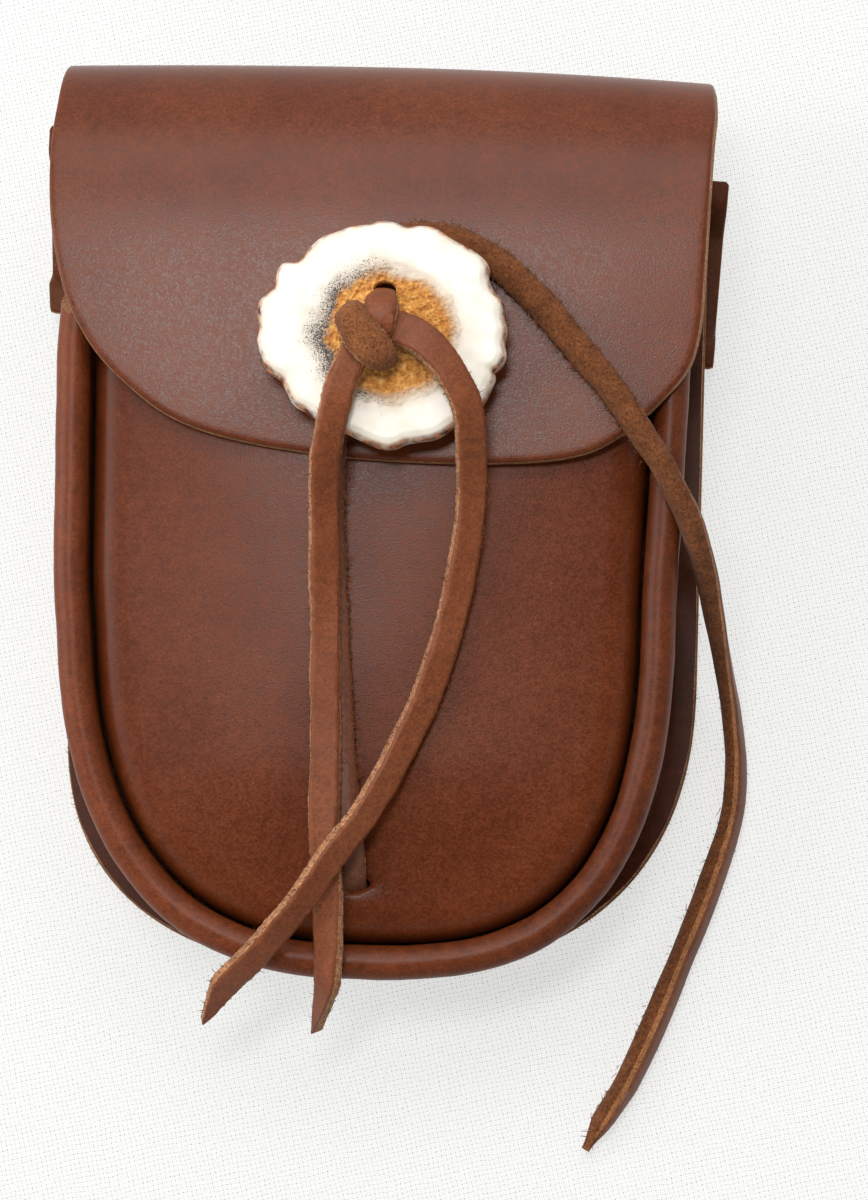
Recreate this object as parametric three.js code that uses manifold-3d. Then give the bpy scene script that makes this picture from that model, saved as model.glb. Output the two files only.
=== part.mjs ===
// A belt bag of thick oiled leather, lying on its back: a back that folds over as the flap, a domed front
// panel, a gusset with a rolled rim, a belt loop, and an antler button with its lace and the closing thong.
import * as THREE from "three";
import { mergeVertices } from "three/addons/utils/BufferGeometryUtils.js";
import Module from "manifold-3d";

const wasm = await Module();
wasm.setup();

// Sizes in millimetres. +X is right as the front is looked at, +Y runs to the fold, and +Z is up from the
// surface that the bag lies on. Heights in the bag are counted from the underside of its back.
const LENGTH = 164;
const FOLD_Y = LENGTH / 2;
const BOTTOM_Y = -LENGTH / 2;
const LEATHER = 2.2;
const GAP = 0.3;

// How the bag lies: flat at its bottom end, and raised towards the fold by the belt loop under it.
const REST_END_Y = -72;
const REST_BLEND = 8;
const REST_SLOPE = 0.065;

// Outlines with a round end, for the left and the right: half the width, the straight part of the end,
// where the round starts and ends, how square it is, and how much it widens above the start.
const BACK = {
  left: { half: 56.2, flat: 0, startY: -30, endY: -81.1, power: 2.75, spread: 0.02 },
  right: { half: 59.0, flat: 0, startY: -26, endY: -81.1, power: 2.4, spread: 0 },
};
const RIM = {
  left: { half: 55.0, flat: 0, startY: -12, endY: BOTTOM_Y, power: 2.6, spread: 0.02 },
  right: { half: 54.0, flat: 0, startY: -16.3, endY: BOTTOM_Y, power: 2.75, spread: 0.035 },
};
const FLAP = {
  left: { half: 58.1, flat: 0, startY: 58.2, endY: 6.8, power: 2.45, spread: 0 },
  right: { half: 56.5, flat: 34, startY: 31, endY: 7.6, power: 1.5, spread: 0.04 },
};
const FLAP_END_Y = 7.6;
const END_CUT = 0.985; // the last of a round end is cut straight

// The fold: where the back starts to bend, how high the fold reaches furthest, and where the flap is level.
const FOLD_LOW_Y = 62;
const FOLD_Z = 13;
const FOLD_HIGH_Y = 54;
const FLAP_UNDER = 34.3;
const FOLD_DROOP = { left: 0.95, right: 1.9 }; // how far the fold falls back at its two ends
const SHEET_COLUMNS = 8;

// The gusset: its flange on the back, its wall, and the rolled rim along the front.
const GUSSET_LEATHER = 2.0;
const FLANGE = 5.0;
const RIM_TOP = 33.7;
const RIM_RADIUS = 3.0;
const RIM_NECK = 0.9;
const SEAM_DEPTH = 3.0;
const MOUTH_Y = 32; // the end of the rim; the wall is cut on a slant from here up to the back
const EAR = 32;
const SIDE_STEPS = 5;
const CORNER_STEPS = 13;

// The front panel: its edge turns down into the crevice beside the rim, and its middle is domed.
const PANEL_TOP_Y = 29;
const PANEL_HALF = 48.5;
const PANEL_Z = 31;
const PANEL_DOME = 3.0;
const CREVICE = 0.5;
const PANEL_RISE_SHARE = 0.35;

// The belt loop: one band, a little turned on the back, with its two long margins against the back.
const LOOP_LENGTH = 123.3;
const LOOP_HEIGHT = 35.1;
const LOOP_Y = 53.2;
const LOOP_TURN = THREE.MathUtils.degToRad(-3.5);
const LOOP_COLUMNS = 1;

// The antler button: a slice with a knobbly edge, a domed face and two holes for the lace. Its edge is a
// list of points [x, y] from the right side round by the top.
const BUTTON_X = 1.5;
const BUTTON_Y = 27.8;
const BUTTON_UNDER = 39.9;
const BUTTON_THICK = 5.8;
const BUTTON_EDGE = [
  [23.2, 29.1],
  [22.6, 31.4],
  [22.4, 33.7],
  [20.6, 35.9],
  [19.8, 37.8],
  [19.7, 40.1],
  [18.1, 42.0],
  [16.4, 43.1],
  [14.3, 44.1],
  [12.1, 45.4],
  [10.4, 46.5],
  [7.9, 46.9],
  [5.5, 46.7],
  [3.0, 47.4],
  [0.6, 47.6],
  [-1.8, 46.9],
  [-4.6, 46.5],
  [-7.0, 45.5],
  [-9.4, 44.6],
  [-11.3, 42.9],
  [-12.6, 41.1],
  [-13.9, 40.0],
  [-16.2, 39.7],
  [-17.2, 38.0],
  [-17.3, 35.9],
  [-18.8, 34.2],
  [-20.1, 33.0],
  [-20.2, 30.7],
  [-19.9, 28.2],
  [-20.2, 26.1],
  [-19.4, 23.5],
  [-18.1, 21.0],
  [-16.0, 19.6],
  [-14.8, 17.6],
  [-13.5, 15.3],
  [-11.2, 14.0],
  [-8.9, 12.5],
  [-6.3, 11.3],
  [-3.7, 10.3],
  [-1.2, 9.2],
  [1.6, 8.1],
  [4.0, 7.9],
  [6.2, 8.9],
  [8.8, 9.4],
  [11.5, 10.0],
  [13.9, 11.5],
  [16.1, 13.1],
  [18.3, 14.8],
  [19.8, 16.6],
  [20.7, 18.7],
  [21.4, 20.4],
  [21.2, 21.7],
  [22.5, 22.8],
  [23.2, 24.5],
  [22.9, 26.6],
];

// The laces: flat strips, cut to a point at their free ends.
const LACE_WIDTH = 5.2;
const LACE_THICK = 2.2;
const LACE_STEP = 7;
const TIGHT_STEP = 2.2; // where a lace bends through a hole
const LACE_CHAMFER = 0.45;
const TIP_LENGTH = 10;
const TIP_WIDTH_SHARE = 0.16;
const HOLE_MARGIN = 0.7;
const SLIT_MARGIN = 1.6;
const KNOT = { x: 0.2, y: 26.6, z: 55.0, long: 6.8, wide: 4.4, high: 2.9, turn: -40 };
const LACE_X = 1.8;

// How high the underside of the back lies above the surface at y.
function lift(y) {
  const past = y - REST_END_Y;
  if (past <= -REST_BLEND) return 0;
  if (past >= REST_BLEND) return REST_SLOPE * past;
  return (REST_SLOPE * (past + REST_BLEND) ** 2) / (4 * REST_BLEND);
}

// Half the width at y of one side of an outline with a round end.
function halfWidth(side, y) {
  const down = (side.startY - y) / (side.startY - side.endY);
  const share = THREE.MathUtils.clamp(down, 0, END_CUT);
  const round = (side.half - side.flat) * (1 - share ** side.power) ** (1 / side.power);
  return side.flat + round + side.spread * Math.max(0, y - side.startY);
}

// A closed geometry from triangles given as points, three by three, turned so that its faces point out.
function closedGeometry(points) {
  const soup = new THREE.BufferGeometry().setFromPoints(points);
  const merged = mergeVertices(soup, 1e-4);
  const place = merged.getAttribute("position");
  const index = [];
  const [a, b, c] = [new THREE.Vector3(), new THREE.Vector3(), new THREE.Vector3()];
  let volume = 0;
  for (let i = 0; i < merged.index.count; i += 3) {
    const [p, q, r] = [0, 1, 2].map((k) => merged.index.getX(i + k));
    if (p === q || q === r || r === p) continue;
    index.push(p, q, r);
    a.fromBufferAttribute(place, p);
    b.fromBufferAttribute(place, q);
    c.fromBufferAttribute(place, r);
    volume += a.dot(b.cross(c));
  }
  merged.setIndex(volume < 0 ? index.reverse() : index);
  return merged;
}

function quad(points, a, b, c, d) {
  points.push(a, b, c, a, c, d);
}

// A closed body between two grids of points of one size. With ring, the last row is joined to the first.
function closedSheet(top, under, ring = false) {
  const points = [];
  const last = top[0].length - 1;
  const rows = top.length;
  for (let i = 0; i < (ring ? rows : rows - 1); i++) {
    const j = (i + 1) % rows;
    for (let c = 0; c < last; c++) {
      quad(points, top[i][c], top[i][c + 1], top[j][c + 1], top[j][c]);
      quad(points, under[i][c], under[j][c], under[j][c + 1], under[i][c + 1]);
    }
    quad(points, top[i][0], top[j][0], under[j][0], under[i][0]);
    quad(points, top[i][last], under[i][last], under[j][last], top[j][last]);
  }
  const end = rows - 1;
  for (let c = 0; c < last && !ring; c++) {
    quad(points, top[0][c], under[0][c], under[0][c + 1], top[0][c + 1]);
    quad(points, top[end][c], top[end][c + 1], under[end][c + 1], under[end][c]);
  }
  return closedGeometry(points);
}

// A closed tube through rings of points, with flat ends.
function closedTube(rings) {
  const points = [];
  const sides = rings[0].length;
  for (let i = 0; i + 1 < rings.length; i++) {
    for (let k = 0; k < sides; k++) {
      const n = (k + 1) % sides;
      quad(points, rings[i][k], rings[i][n], rings[i + 1][n], rings[i + 1][k]);
    }
  }
  const [first, final] = [rings[0], rings[rings.length - 1]];
  for (let k = 1; k + 1 < sides; k++) {
    points.push(first[0], first[k + 1], first[k], final[0], final[k], final[k + 1]);
  }
  return closedGeometry(points);
}

function solidOf(geometry) {
  const vertProperties = geometry.getAttribute("position").array;
  const triVerts = new Uint32Array(geometry.index.array);
  return new wasm.Manifold(new wasm.Mesh({ numProp: 3, vertProperties, triVerts }));
}

function geometryOf(solid) {
  const mesh = solid.getMesh();
  const geometry = new THREE.BufferGeometry();
  geometry.setAttribute("position", new THREE.BufferAttribute(mesh.vertProperties, 3));
  return geometry.setIndex(new THREE.BufferAttribute(mesh.triVerts, 1));
}

// The frames along a lace: its route is smooth through the rows, and roll turns its grain side from up.
function laceFrames(route, step, sideways) {
  const path = new THREE.CatmullRomCurve3(
    route.map((row) => new THREE.Vector3(row[0], row[1], row[2])),
    false,
    "centripetal",
  );
  const steps = Math.ceil(path.getLength() / step);
  const frames = [];
  for (let i = 0; i <= steps; i++) {
    const share = i / steps;
    const t = path.getUtoTmapping(share) * (route.length - 1);
    const row = Math.min(Math.floor(t), route.length - 2);
    const degrees = THREE.MathUtils.lerp(route[row][3], route[row + 1][3], t - row);
    const roll = THREE.MathUtils.degToRad(degrees);
    const along = path.getTangentAt(share);
    const level = sideways
      ? sideways.clone().addScaledVector(along, -sideways.dot(along)).normalize()
      : new THREE.Vector3().crossVectors(along, new THREE.Vector3(0, 0, 1)).normalize();
    const face = new THREE.Vector3().crossVectors(level, along);
    const side = level.clone().multiplyScalar(Math.cos(roll)).addScaledVector(face, Math.sin(roll));
    const up = face.multiplyScalar(Math.cos(roll)).addScaledVector(level, -Math.sin(roll));
    frames.push({ at: path.getPointAt(share), side, up, toEnd: path.getLength() * (1 - share) });
  }
  return frames;
}

// A flat strip with chamfered edges along a route of rows [x, y, z, roll in degrees].
function lace(route, { margin = 0, pointed = true, step = LACE_STEP, sideways = null } = {}) {
  const rings = laceFrames(route, step, sideways).map(({ at, side, up, toEnd }) => {
    const taper = pointed ? Math.min(1, toEnd / TIP_LENGTH) : 1;
    const half = (THREE.MathUtils.lerp(TIP_WIDTH_SHARE, 1, taper) * LACE_WIDTH + margin) / 2;
    const thick = (LACE_THICK + margin) / 2;
    const cut = Math.min(LACE_CHAMFER, half / 2);
    const corners = [
      [half, thick - cut],
      [half - cut, thick],
      [cut - half, thick],
      [-half, thick - cut],
      [-half, cut - thick],
      [cut - half, -thick],
      [half - cut, -thick],
      [half, cut - thick],
    ];
    return corners.map(([s, u]) => at.clone().addScaledVector(side, s).addScaledVector(up, u));
  });
  return closedTube(rings);
}

// The profile of the back, the fold and the flap, from the bottom of the back to the flap's lower edge,
// as rows of the middle of the leather with the width to each side.
function sheetRows() {
  const rows = [];
  const add = (y, z, outline, bend) => {
    const [left, right] = [halfWidth(outline.left, y), halfWidth(outline.right, y)];
    rows.push({ y, z: z + lift(y), left, right, bend });
  };
  const [endRows, backRows, lowRows, highRows, flapRows] = [10, 4, 6, 9, 14];
  for (let i = 0; i <= endRows; i++) {
    const up = 1 - Math.cos((i / endRows) * (Math.PI / 2));
    add(THREE.MathUtils.lerp(BACK.left.endY, BACK.right.startY, up), LEATHER / 2, BACK, 0);
  }
  for (let i = 1; i <= backRows; i++) {
    add(THREE.MathUtils.lerp(BACK.right.startY, FOLD_LOW_Y, i / backRows), LEATHER / 2, BACK, 0);
  }
  const foldY = FOLD_Y - LEATHER / 2;
  for (let i = 1; i <= lowRows; i++) {
    const turn = (i / lowRows) * (Math.PI / 2);
    const y = FOLD_LOW_Y + (foldY - FOLD_LOW_Y) * Math.sin(turn);
    add(y, FOLD_Z - (FOLD_Z - LEATHER / 2) * Math.cos(turn), BACK, Math.sin(turn));
  }
  const flapZ = FLAP_UNDER + LEATHER / 2;
  for (let i = 1; i <= highRows; i++) {
    const turn = (i / highRows) * (Math.PI / 2);
    const y = FOLD_HIGH_Y + (foldY - FOLD_HIGH_Y) * Math.cos(turn);
    add(y, FOLD_Z + (flapZ - FOLD_Z) * Math.sin(turn), FLAP, Math.cos(turn));
  }
  for (let i = 1; i <= flapRows; i++) {
    const down = Math.sin((i / flapRows) * (Math.PI / 2));
    add(THREE.MathUtils.lerp(FOLD_HIGH_Y, FLAP_END_Y, down), flapZ, FLAP, 0);
  }
  return rows;
}

function backAndFlap(holes) {
  const rows = sheetRows();
  const [grain, flesh] = [[], []];
  rows.forEach((row, i) => {
    const before = rows[Math.max(i - 1, 0)];
    const after = rows[Math.min(i + 1, rows.length - 1)];
    const along = new THREE.Vector2(after.y - before.y, after.z - before.z).setLength(LEATHER / 2);
    const place = (c, sign) => {
      const x = THREE.MathUtils.lerp(-row.left, row.right, c / SHEET_COLUMNS);
      const share = x < 0 ? x / row.left : x / row.right;
      const droop = row.bend * share * share * (x < 0 ? FOLD_DROOP.left : FOLD_DROOP.right);
      return new THREE.Vector3(x, row.y - droop + sign * along.y, row.z - sign * along.x);
    };
    const columns = [...Array(SHEET_COLUMNS + 1).keys()];
    grain.push(columns.map((c) => place(c, 1)));
    flesh.push(columns.map((c) => place(c, -1)));
  });
  return geometryOf(solidOf(closedSheet(grain, flesh)).subtract(holes));
}

// Stations round the U from the left end to the right: the side, how far up the straight stretch, and the
// angle round the bottom.
function stations() {
  const half = [];
  for (let i = SIDE_STEPS; i > 0; i--) {
    half.push({ up: i / SIDE_STEPS, angle: 0 });
  }
  for (let i = 0; i <= CORNER_STEPS; i++) {
    half.push({ up: 0, angle: (i / CORNER_STEPS) * (Math.PI / 2) });
  }
  const left = half.map((s) => ({ ...s, side: -1 }));
  const right = half.slice(0, -1).map((s) => ({ ...s, side: 1 }));
  return [...left, ...right.reverse()];
}

// The point of an outline at a station, whose straight stretch ends at topY, and the way out from it.
function outlinePoint(outline, station, topY) {
  const side = station.side < 0 ? outline.left : outline.right;
  const power = 2 / side.power;
  const depth = side.startY - side.endY;
  const across = Math.max(0, Math.cos(station.angle));
  const down = Math.sin(station.angle);
  const rise = station.up * (topY - side.startY);
  const x = side.half * across ** power + side.spread * rise;
  const outX = (station.side * across ** (2 - power)) / side.half;
  return {
    at: new THREE.Vector2(station.side * x, side.startY + rise - depth * down ** power),
    out: new THREE.Vector2(outX, -(down ** (2 - power)) / depth).normalize(),
  };
}

// The gusset's section as rows: blend from the back's outline (0) to the rim's (1), then the inset from
// that outline and the height, of the outer face and of the inner face.
function gussetSection() {
  const foot = LEATHER + GAP;
  const t = GUSSET_LEATHER;
  const rows = [
    { blend: 0, outer: [0, foot + t], inner: [0, foot] },
    { blend: 0, outer: [FLANGE - 1.2, foot + t], inner: [FLANGE + t - 0.6, foot] },
    { blend: 0.1, outer: [0.9 * FLANGE + 0.2, foot + t + 2], inner: [0.9 * FLANGE + t, foot + 2.6] },
    { blend: 0.55, outer: [0.45 * FLANGE + 0.6, 15], inner: [0.45 * FLANGE + 0.6 + t, 15] },
    { blend: 1, outer: [RIM_NECK, 25.5], inner: [RIM_NECK + t, 25.5] },
  ];
  const centre = RIM_TOP - RIM_RADIUS;
  const core = RIM_RADIUS - t;
  for (const degrees of [-20, 15, 50, 85, 120, 155, 190]) {
    const turn = THREE.MathUtils.degToRad(degrees);
    const at = (r) => [RIM_RADIUS - r * Math.cos(turn), centre + r * Math.sin(turn)];
    rows.push({ blend: 1, outer: at(RIM_RADIUS), inner: at(core) });
  }
  const seam = centre - SEAM_DEPTH;
  rows.push({ blend: 1, outer: [2 * RIM_RADIUS, seam], inner: [2 * RIM_RADIUS - t, seam] });
  return rows;
}

function gusset() {
  const section = gussetSection();
  const face = (name) =>
    stations().map((station) =>
      section.map((row) => {
        const [inset, height] = row[name];
        const topY = MOUTH_Y + EAR * (1 - height / RIM_TOP);
        const back = outlinePoint(BACK, station, topY);
        const rim = outlinePoint(RIM, station, topY);
        const out = back.out.lerp(rim.out, row.blend).normalize();
        const at = back.at.lerp(rim.at, row.blend).addScaledVector(out, -inset);
        return new THREE.Vector3(at.x, at.y, height + lift(at.y));
      }),
    );
  return closedSheet(face("outer"), face("inner"));
}

// How far the panel stands above its edge at a point: domed across, risen from the bottom edge.
function panelRise(x, y) {
  const across = x / PANEL_HALF;
  const up = (y - BOTTOM_Y) / (PANEL_TOP_Y - BOTTOM_Y);
  const risen = THREE.MathUtils.smoothstep(up, 0, PANEL_RISE_SHARE);
  return PANEL_DOME * risen * Math.max(0, 1 - across * across);
}

function frontPanel(slit) {
  // Rings from the edge inwards: the inset and the drop of the upper face, and of the underside.
  const edgeRings = [
    { top: [0, 4.2], under: [2.0, 4.2] },
    { top: [0.3, 2.2], under: [2.2, 3.4] },
    { top: [1.2, 0.9], under: [2.7, 2.8] },
    { top: [3.2, 0.2], under: [3.8, 2.4] },
    { top: [6.0, 0], under: [6.0, LEATHER] },
  ];
  const innerScales = [0.84, 0.64, 0.42, 0.2, 0];
  const middle = new THREE.Vector2(0, PANEL_TOP_Y);
  const ring = (inset, drop, scale) =>
    stations().map((station) => {
      const rim = outlinePoint(RIM, station, PANEL_TOP_Y);
      const at = rim.at.addScaledVector(rim.out, -(2 * RIM_RADIUS + CREVICE + inset));
      at.sub(middle).multiplyScalar(scale).add(middle);
      return new THREE.Vector3(at.x, at.y, PANEL_Z + panelRise(at.x, at.y) - drop + lift(at.y));
    });
  const face = (name, innerDrop) => [
    ...edgeRings.map((row) => ring(row[name][0], row[name][1], 1)),
    ...innerScales.map((scale) => ring(6, innerDrop, scale)),
  ];
  return geometryOf(solidOf(closedSheet(face("top", 0), face("under", LEATHER))).subtract(slit));
}

// The band's section across its height as [share of half the height, share of the way up to the back].
const LOOP_SECTION = [
  [-1, 1],
  [-0.74, 1],
  [-0.68, 0.86],
  [-0.6, 0.42],
  [-0.53, 0.1],
  [-0.47, 0],
  [0.47, 0],
  [0.53, 0.1],
  [0.6, 0.42],
  [0.68, 0.86],
  [0.74, 1],
  [1, 1],
];

function beltLoop() {
  const half = LOOP_HEIGHT / 2;
  const centre = new THREE.Vector2(0, LOOP_Y);
  const high = (y) => lift(y) - GAP - LEATHER / 2;
  const level = (y, share) => THREE.MathUtils.lerp(LEATHER / 2, high(y), share);
  const face = (sign) =>
    LOOP_SECTION.map(([across, share], i) => {
      const before = LOOP_SECTION[Math.max(i - 1, 0)];
      const after = LOOP_SECTION[Math.min(i + 1, LOOP_SECTION.length - 1)];
      const run = (after[0] - before[0]) * half;
      const climb = (after[1] - before[1]) * (high(LOOP_Y) - LEATHER / 2);
      const along = new THREE.Vector2(run, climb).setLength(LEATHER / 2);
      return [...Array(LOOP_COLUMNS + 1).keys()].map((c) => {
        const x = (c / LOOP_COLUMNS - 0.5) * LOOP_LENGTH;
        const y = across * half;
        const at = new THREE.Vector2(x, y + LOOP_Y).rotateAround(centre, LOOP_TURN);
        return new THREE.Vector3(at.x, at.y - sign * along.y, level(at.y, share) + sign * along.x);
      });
    });
  return closedSheet(face(1), face(-1));
}

function antlerButton(holes) {
  // Rings from the middle out: share of the radius, and share of the thickness of the face and underside.
  const rings = [
    { reach: 0, top: 0.9, under: 0 },
    { reach: 0.42, top: 0.94, under: 0 },
    { reach: 0.66, top: 1, under: 0 },
    { reach: 0.84, top: 0.92, under: 0.02 },
    { reach: 0.95, top: 0.74, under: 0.1 },
    { reach: 1, top: 0.5, under: 0.26 },
  ];
  const face = (name) =>
    BUTTON_EDGE.map(([edgeX, edgeY]) =>
      rings.map((ring) => {
        const x = THREE.MathUtils.lerp(BUTTON_X, edgeX, ring.reach);
        const y = THREE.MathUtils.lerp(BUTTON_Y, edgeY, ring.reach);
        return new THREE.Vector3(x, y, BUTTON_UNDER + BUTTON_THICK * ring[name] + lift(y));
      }),
    );
  return geometryOf(solidOf(closedSheet(face("top"), face("under"), true)).subtract(holes));
}

// Routes of the laces as rows of x, y, z and roll. The holding loop comes up through the button, goes
// into the knot, and runs behind the flap between the two holes.
const LOOP_ROUTE = [
  [LACE_X, 27.0, 54.4, 0],
  [LACE_X, 31.0, 55.6, 0],
  [LACE_X, 34.6, 55.2, 0],
  [LACE_X, 36.6, 52.6, 0],
  [LACE_X, 36.8, 48.0, 0],
  [LACE_X, 36.8, 43.0, 0],
  [LACE_X, 36.0, 39.6, 0],
  [LACE_X, 33.6, 38.6, 0],
  [LACE_X, 31.2, 39.6, 0],
  [LACE_X, 30.4, 43.0, 0],
  [LACE_X, 30.4, 48.0, 0],
  [LACE_X, 30.2, 53.6, 0],
];
const LEFT_ROUTE = [
  [-3.0, 22.0, 54.9, 8],
  [-4.5, 18.6, 54.7, 10],
  [-5.4, 15.2, 54.3, 12],
  [-6.2, 11.8, 53.4, 14],
  [-6.8, 8.6, 51.8, 16],
  [-7.4, 5.5, 50.1, 18],
  [-7.6, -1.0, 46.6, 20],
  [-7.4, -7.6, 44.4, 18],
  [-7.1, -16.0, 42.5, 12],
  [-6.8, -24.7, 41.3, 7],
  [-6.5, -35.1, 40.3, 3],
  [-6.2, -45.4, 39.5, 0],
  [-6.1, -55.0, 38.8, -3],
  [-5.5, -64.0, 38.0, -9],
  [-5.0, -71.0, 37.2, -15],
  [-4.7, -78.0, 36.3, -20],
  [-4.8, -83.1, 34.7, -24],
  [-5.8, -87.4, 31.2, -26],
  [-7.3, -91.4, 27.0, -28],
];
const RIGHT_ROUTE = [
  [8.2, 26.4, 55.3, 8],
  [12.5, 22.5, 55.0, 12],
  [14.8, 19.1, 54.5, 15],
  [16.5, 15.9, 53.6, 17],
  [17.4, 12.8, 52.0, 18],
  [17.6, 9.7, 49.9, 19],
  [17.7, 6.6, 47.6, 20],
  [17.8, 3.4, 45.6, 20],
  [17.7, -1.4, 43.4, 20],
  [17.2, -6.5, 41.9, 20],
  [16.2, -13.4, 40.6, 20],
  [14.0, -23.9, 39.4, 20],
  [10.7, -34.4, 38.8, 22],
  [7.6, -41.4, 38.7, 24],
  [4.3, -48.5, 39.3, 26],
  [0.4, -55.6, 41.0, 28],
  [-2.3, -59.2, 42.1, 28],
  [-4.7, -62.7, 42.5, 28],
  [-6.9, -66.2, 42.3, 28],
  [-9.2, -69.7, 41.8, 28],
  [-13.4, -74.9, 40.3, 28],
  [-17.9, -80.1, 38.0, 28],
  [-21.5, -83.6, 35.2, 28],
  [-24.1, -87.1, 32.2, 28],
  [-26.7, -90.7, 29.0, 28],
];
const THONG_ROUTE = [
  [-1.3, -67.4, 27.4, 180],
  [-1.3, -66.8, 30.5, 180],
  [-1.4, -65.2, 33.4, 180],
  [-1.6, -61.8, 35.1, 180],
  [-2.3, -56.0, 36.0, 180],
  [-3.6, -45.1, 37.0, 180],
  [-4.6, -33.0, 37.9, 180],
  [-5.7, -20.0, 38.8, 180],
  [-6.6, -7.0, 40.0, 180],
  [-6.9, -0.2, 41.9, 180],
  [-6.8, 5.4, 43.4, 180],
  [-6.7, 11.5, 43.8, 180],
  [-6.6, 18.5, 44.2, 180],
  [-6.3, 26.5, 44.7, 180],
  [-5.2, 34.6, 45.2, 180],
  [-2.6, 41.0, 45.6, 180],
  [2.3, 44.7, 45.8, 180],
  [8.4, 46.2, 45.9, 180],
  [13.6, 45.6, 45.9, 180],
  [18.0, 43.5, 45.8, 178],
  [23.4, 39.8, 45.7, 174],
  [28.7, 35.0, 45.6, 168],
  [34.1, 28.8, 45.5, 161],
  [39.5, 22.7, 45.4, 153],
  [43.4, 17.6, 45.3, 146],
  [47.1, 12.4, 44.9, 136],
  [50.5, 8.0, 43.7, 125],
  [53.2, 3.8, 42.4, 116],
  [55.9, -0.7, 40.0, 109],
  [58.1, -5.6, 35.8, 102],
  [59.9, -10.4, 30.0, 95],
  [61.5, -16.0, 23.0, 88],
  [63.6, -24.0, 14.0, 78],
  [65.6, -32.4, 7.4, 68],
  [66.7, -41.0, 3.9, 62],
  [66.2, -50.5, 3.0, 60],
  [62.3, -64.0, 3.0, 60],
  [56.0, -81.0, 3.0, 60],
  [49.1, -97.8, 3.0, 60],
  [41.5, -111.6, 3.0, 60],
];

const SLIT_START = [-1.3, -67.6, 25.2, 0];
const ACROSS = new THREE.Vector3(1, 0, 0);

// The lump of the knot over the button, joined to the lace that comes up through the holes.
function buttonLace() {
  const lump = new THREE.SphereGeometry(1, 14, 9);
  lump.deleteAttribute("normal");
  lump.deleteAttribute("uv");
  lump.scale(KNOT.long, KNOT.wide, KNOT.high);
  lump.rotateZ(THREE.MathUtils.degToRad(KNOT.turn));
  lump.translate(KNOT.x, KNOT.y, KNOT.z);
  const corners = lump.toNonIndexed().getAttribute("position");
  const points = [];
  for (let i = 0; i < corners.count; i++) {
    points.push(new THREE.Vector3().fromBufferAttribute(corners, i));
  }
  const loop = lace(LOOP_ROUTE, { pointed: false, step: TIGHT_STEP, sideways: ACROSS });
  return geometryOf(solidOf(closedGeometry(points)).add(solidOf(loop)));
}

function piece(name, geometry, color, roughness) {
  geometry.computeVertexNormals();
  const mesh = new THREE.Mesh(geometry, new THREE.MeshStandardMaterial({ color, roughness, metalness: 0 }));
  mesh.name = name;
  return mesh;
}

const LEATHER_BROWN = 0x6b3d2c;
const LACE_BROWN = 0x70432c;
const ANTLER_WHITE = 0xf1e6d6;

const passage = { margin: HOLE_MARGIN, pointed: false, step: TIGHT_STEP, sideways: ACROSS };
const lacePassage = solidOf(lace(LOOP_ROUTE, passage));
const slitRoute = [SLIT_START, ...THONG_ROUTE.slice(0, 5)];
const thongPassage = solidOf(lace(slitRoute, { ...passage, margin: SLIT_MARGIN }));

const bag = new THREE.Group();
bag.add(
  piece("back_and_flap", backAndFlap(lacePassage), LEATHER_BROWN, 0.5),
  piece("front_panel", frontPanel(thongPassage), LEATHER_BROWN, 0.5),
  piece("gusset", gusset(), LEATHER_BROWN, 0.5),
  piece("belt_loop", beltLoop(), LEATHER_BROWN, 0.5),
  piece("antler_button", antlerButton(lacePassage), ANTLER_WHITE, 0.35),
  piece("button_lace", buttonLace(), LACE_BROWN, 0.6),
  piece("lace_tail_left", lace(LEFT_ROUTE), LACE_BROWN, 0.6),
  piece("lace_tail_right", lace(RIGHT_ROUTE), LACE_BROWN, 0.6),
  piece("closing_thong", lace(THONG_ROUTE), LACE_BROWN, 0.6),
);

export default bag;
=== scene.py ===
"""The looks of a leather belt bag that lies on a white cloth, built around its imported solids."""

import math

import bmesh
import bpy
import numpy as np
from mathutils import Matrix, Vector, noise
from mathutils.geometry import delaunay_2d_cdt


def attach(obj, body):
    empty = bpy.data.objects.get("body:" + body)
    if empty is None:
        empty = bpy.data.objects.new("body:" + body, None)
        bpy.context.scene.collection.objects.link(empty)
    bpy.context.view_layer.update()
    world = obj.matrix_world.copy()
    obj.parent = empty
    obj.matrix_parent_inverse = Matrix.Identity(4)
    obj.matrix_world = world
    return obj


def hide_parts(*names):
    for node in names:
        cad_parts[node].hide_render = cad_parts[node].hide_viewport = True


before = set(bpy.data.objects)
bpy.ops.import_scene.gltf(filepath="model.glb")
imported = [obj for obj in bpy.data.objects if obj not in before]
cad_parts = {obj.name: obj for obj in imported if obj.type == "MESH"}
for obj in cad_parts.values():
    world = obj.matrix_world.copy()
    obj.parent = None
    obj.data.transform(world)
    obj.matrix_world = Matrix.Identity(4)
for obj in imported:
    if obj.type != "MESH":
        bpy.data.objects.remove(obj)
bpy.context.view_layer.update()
MM = 0.001

# The camera in millimetres and degrees, as estimated from the photograph.
CAMERA_TARGET = (11.6, -16.5, 36.0)
CAMERA_DISTANCE = 560.0
CAMERA_TILT_X, CAMERA_TILT_Y, CAMERA_ROLL = 2.2, 7.11, 1.58
SENSOR_MM, CLIP_START_M = 36.0, 0.01
FOCAL_PX, IMAGE_HEIGHT_PX = 3200.0, 1200.0

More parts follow.
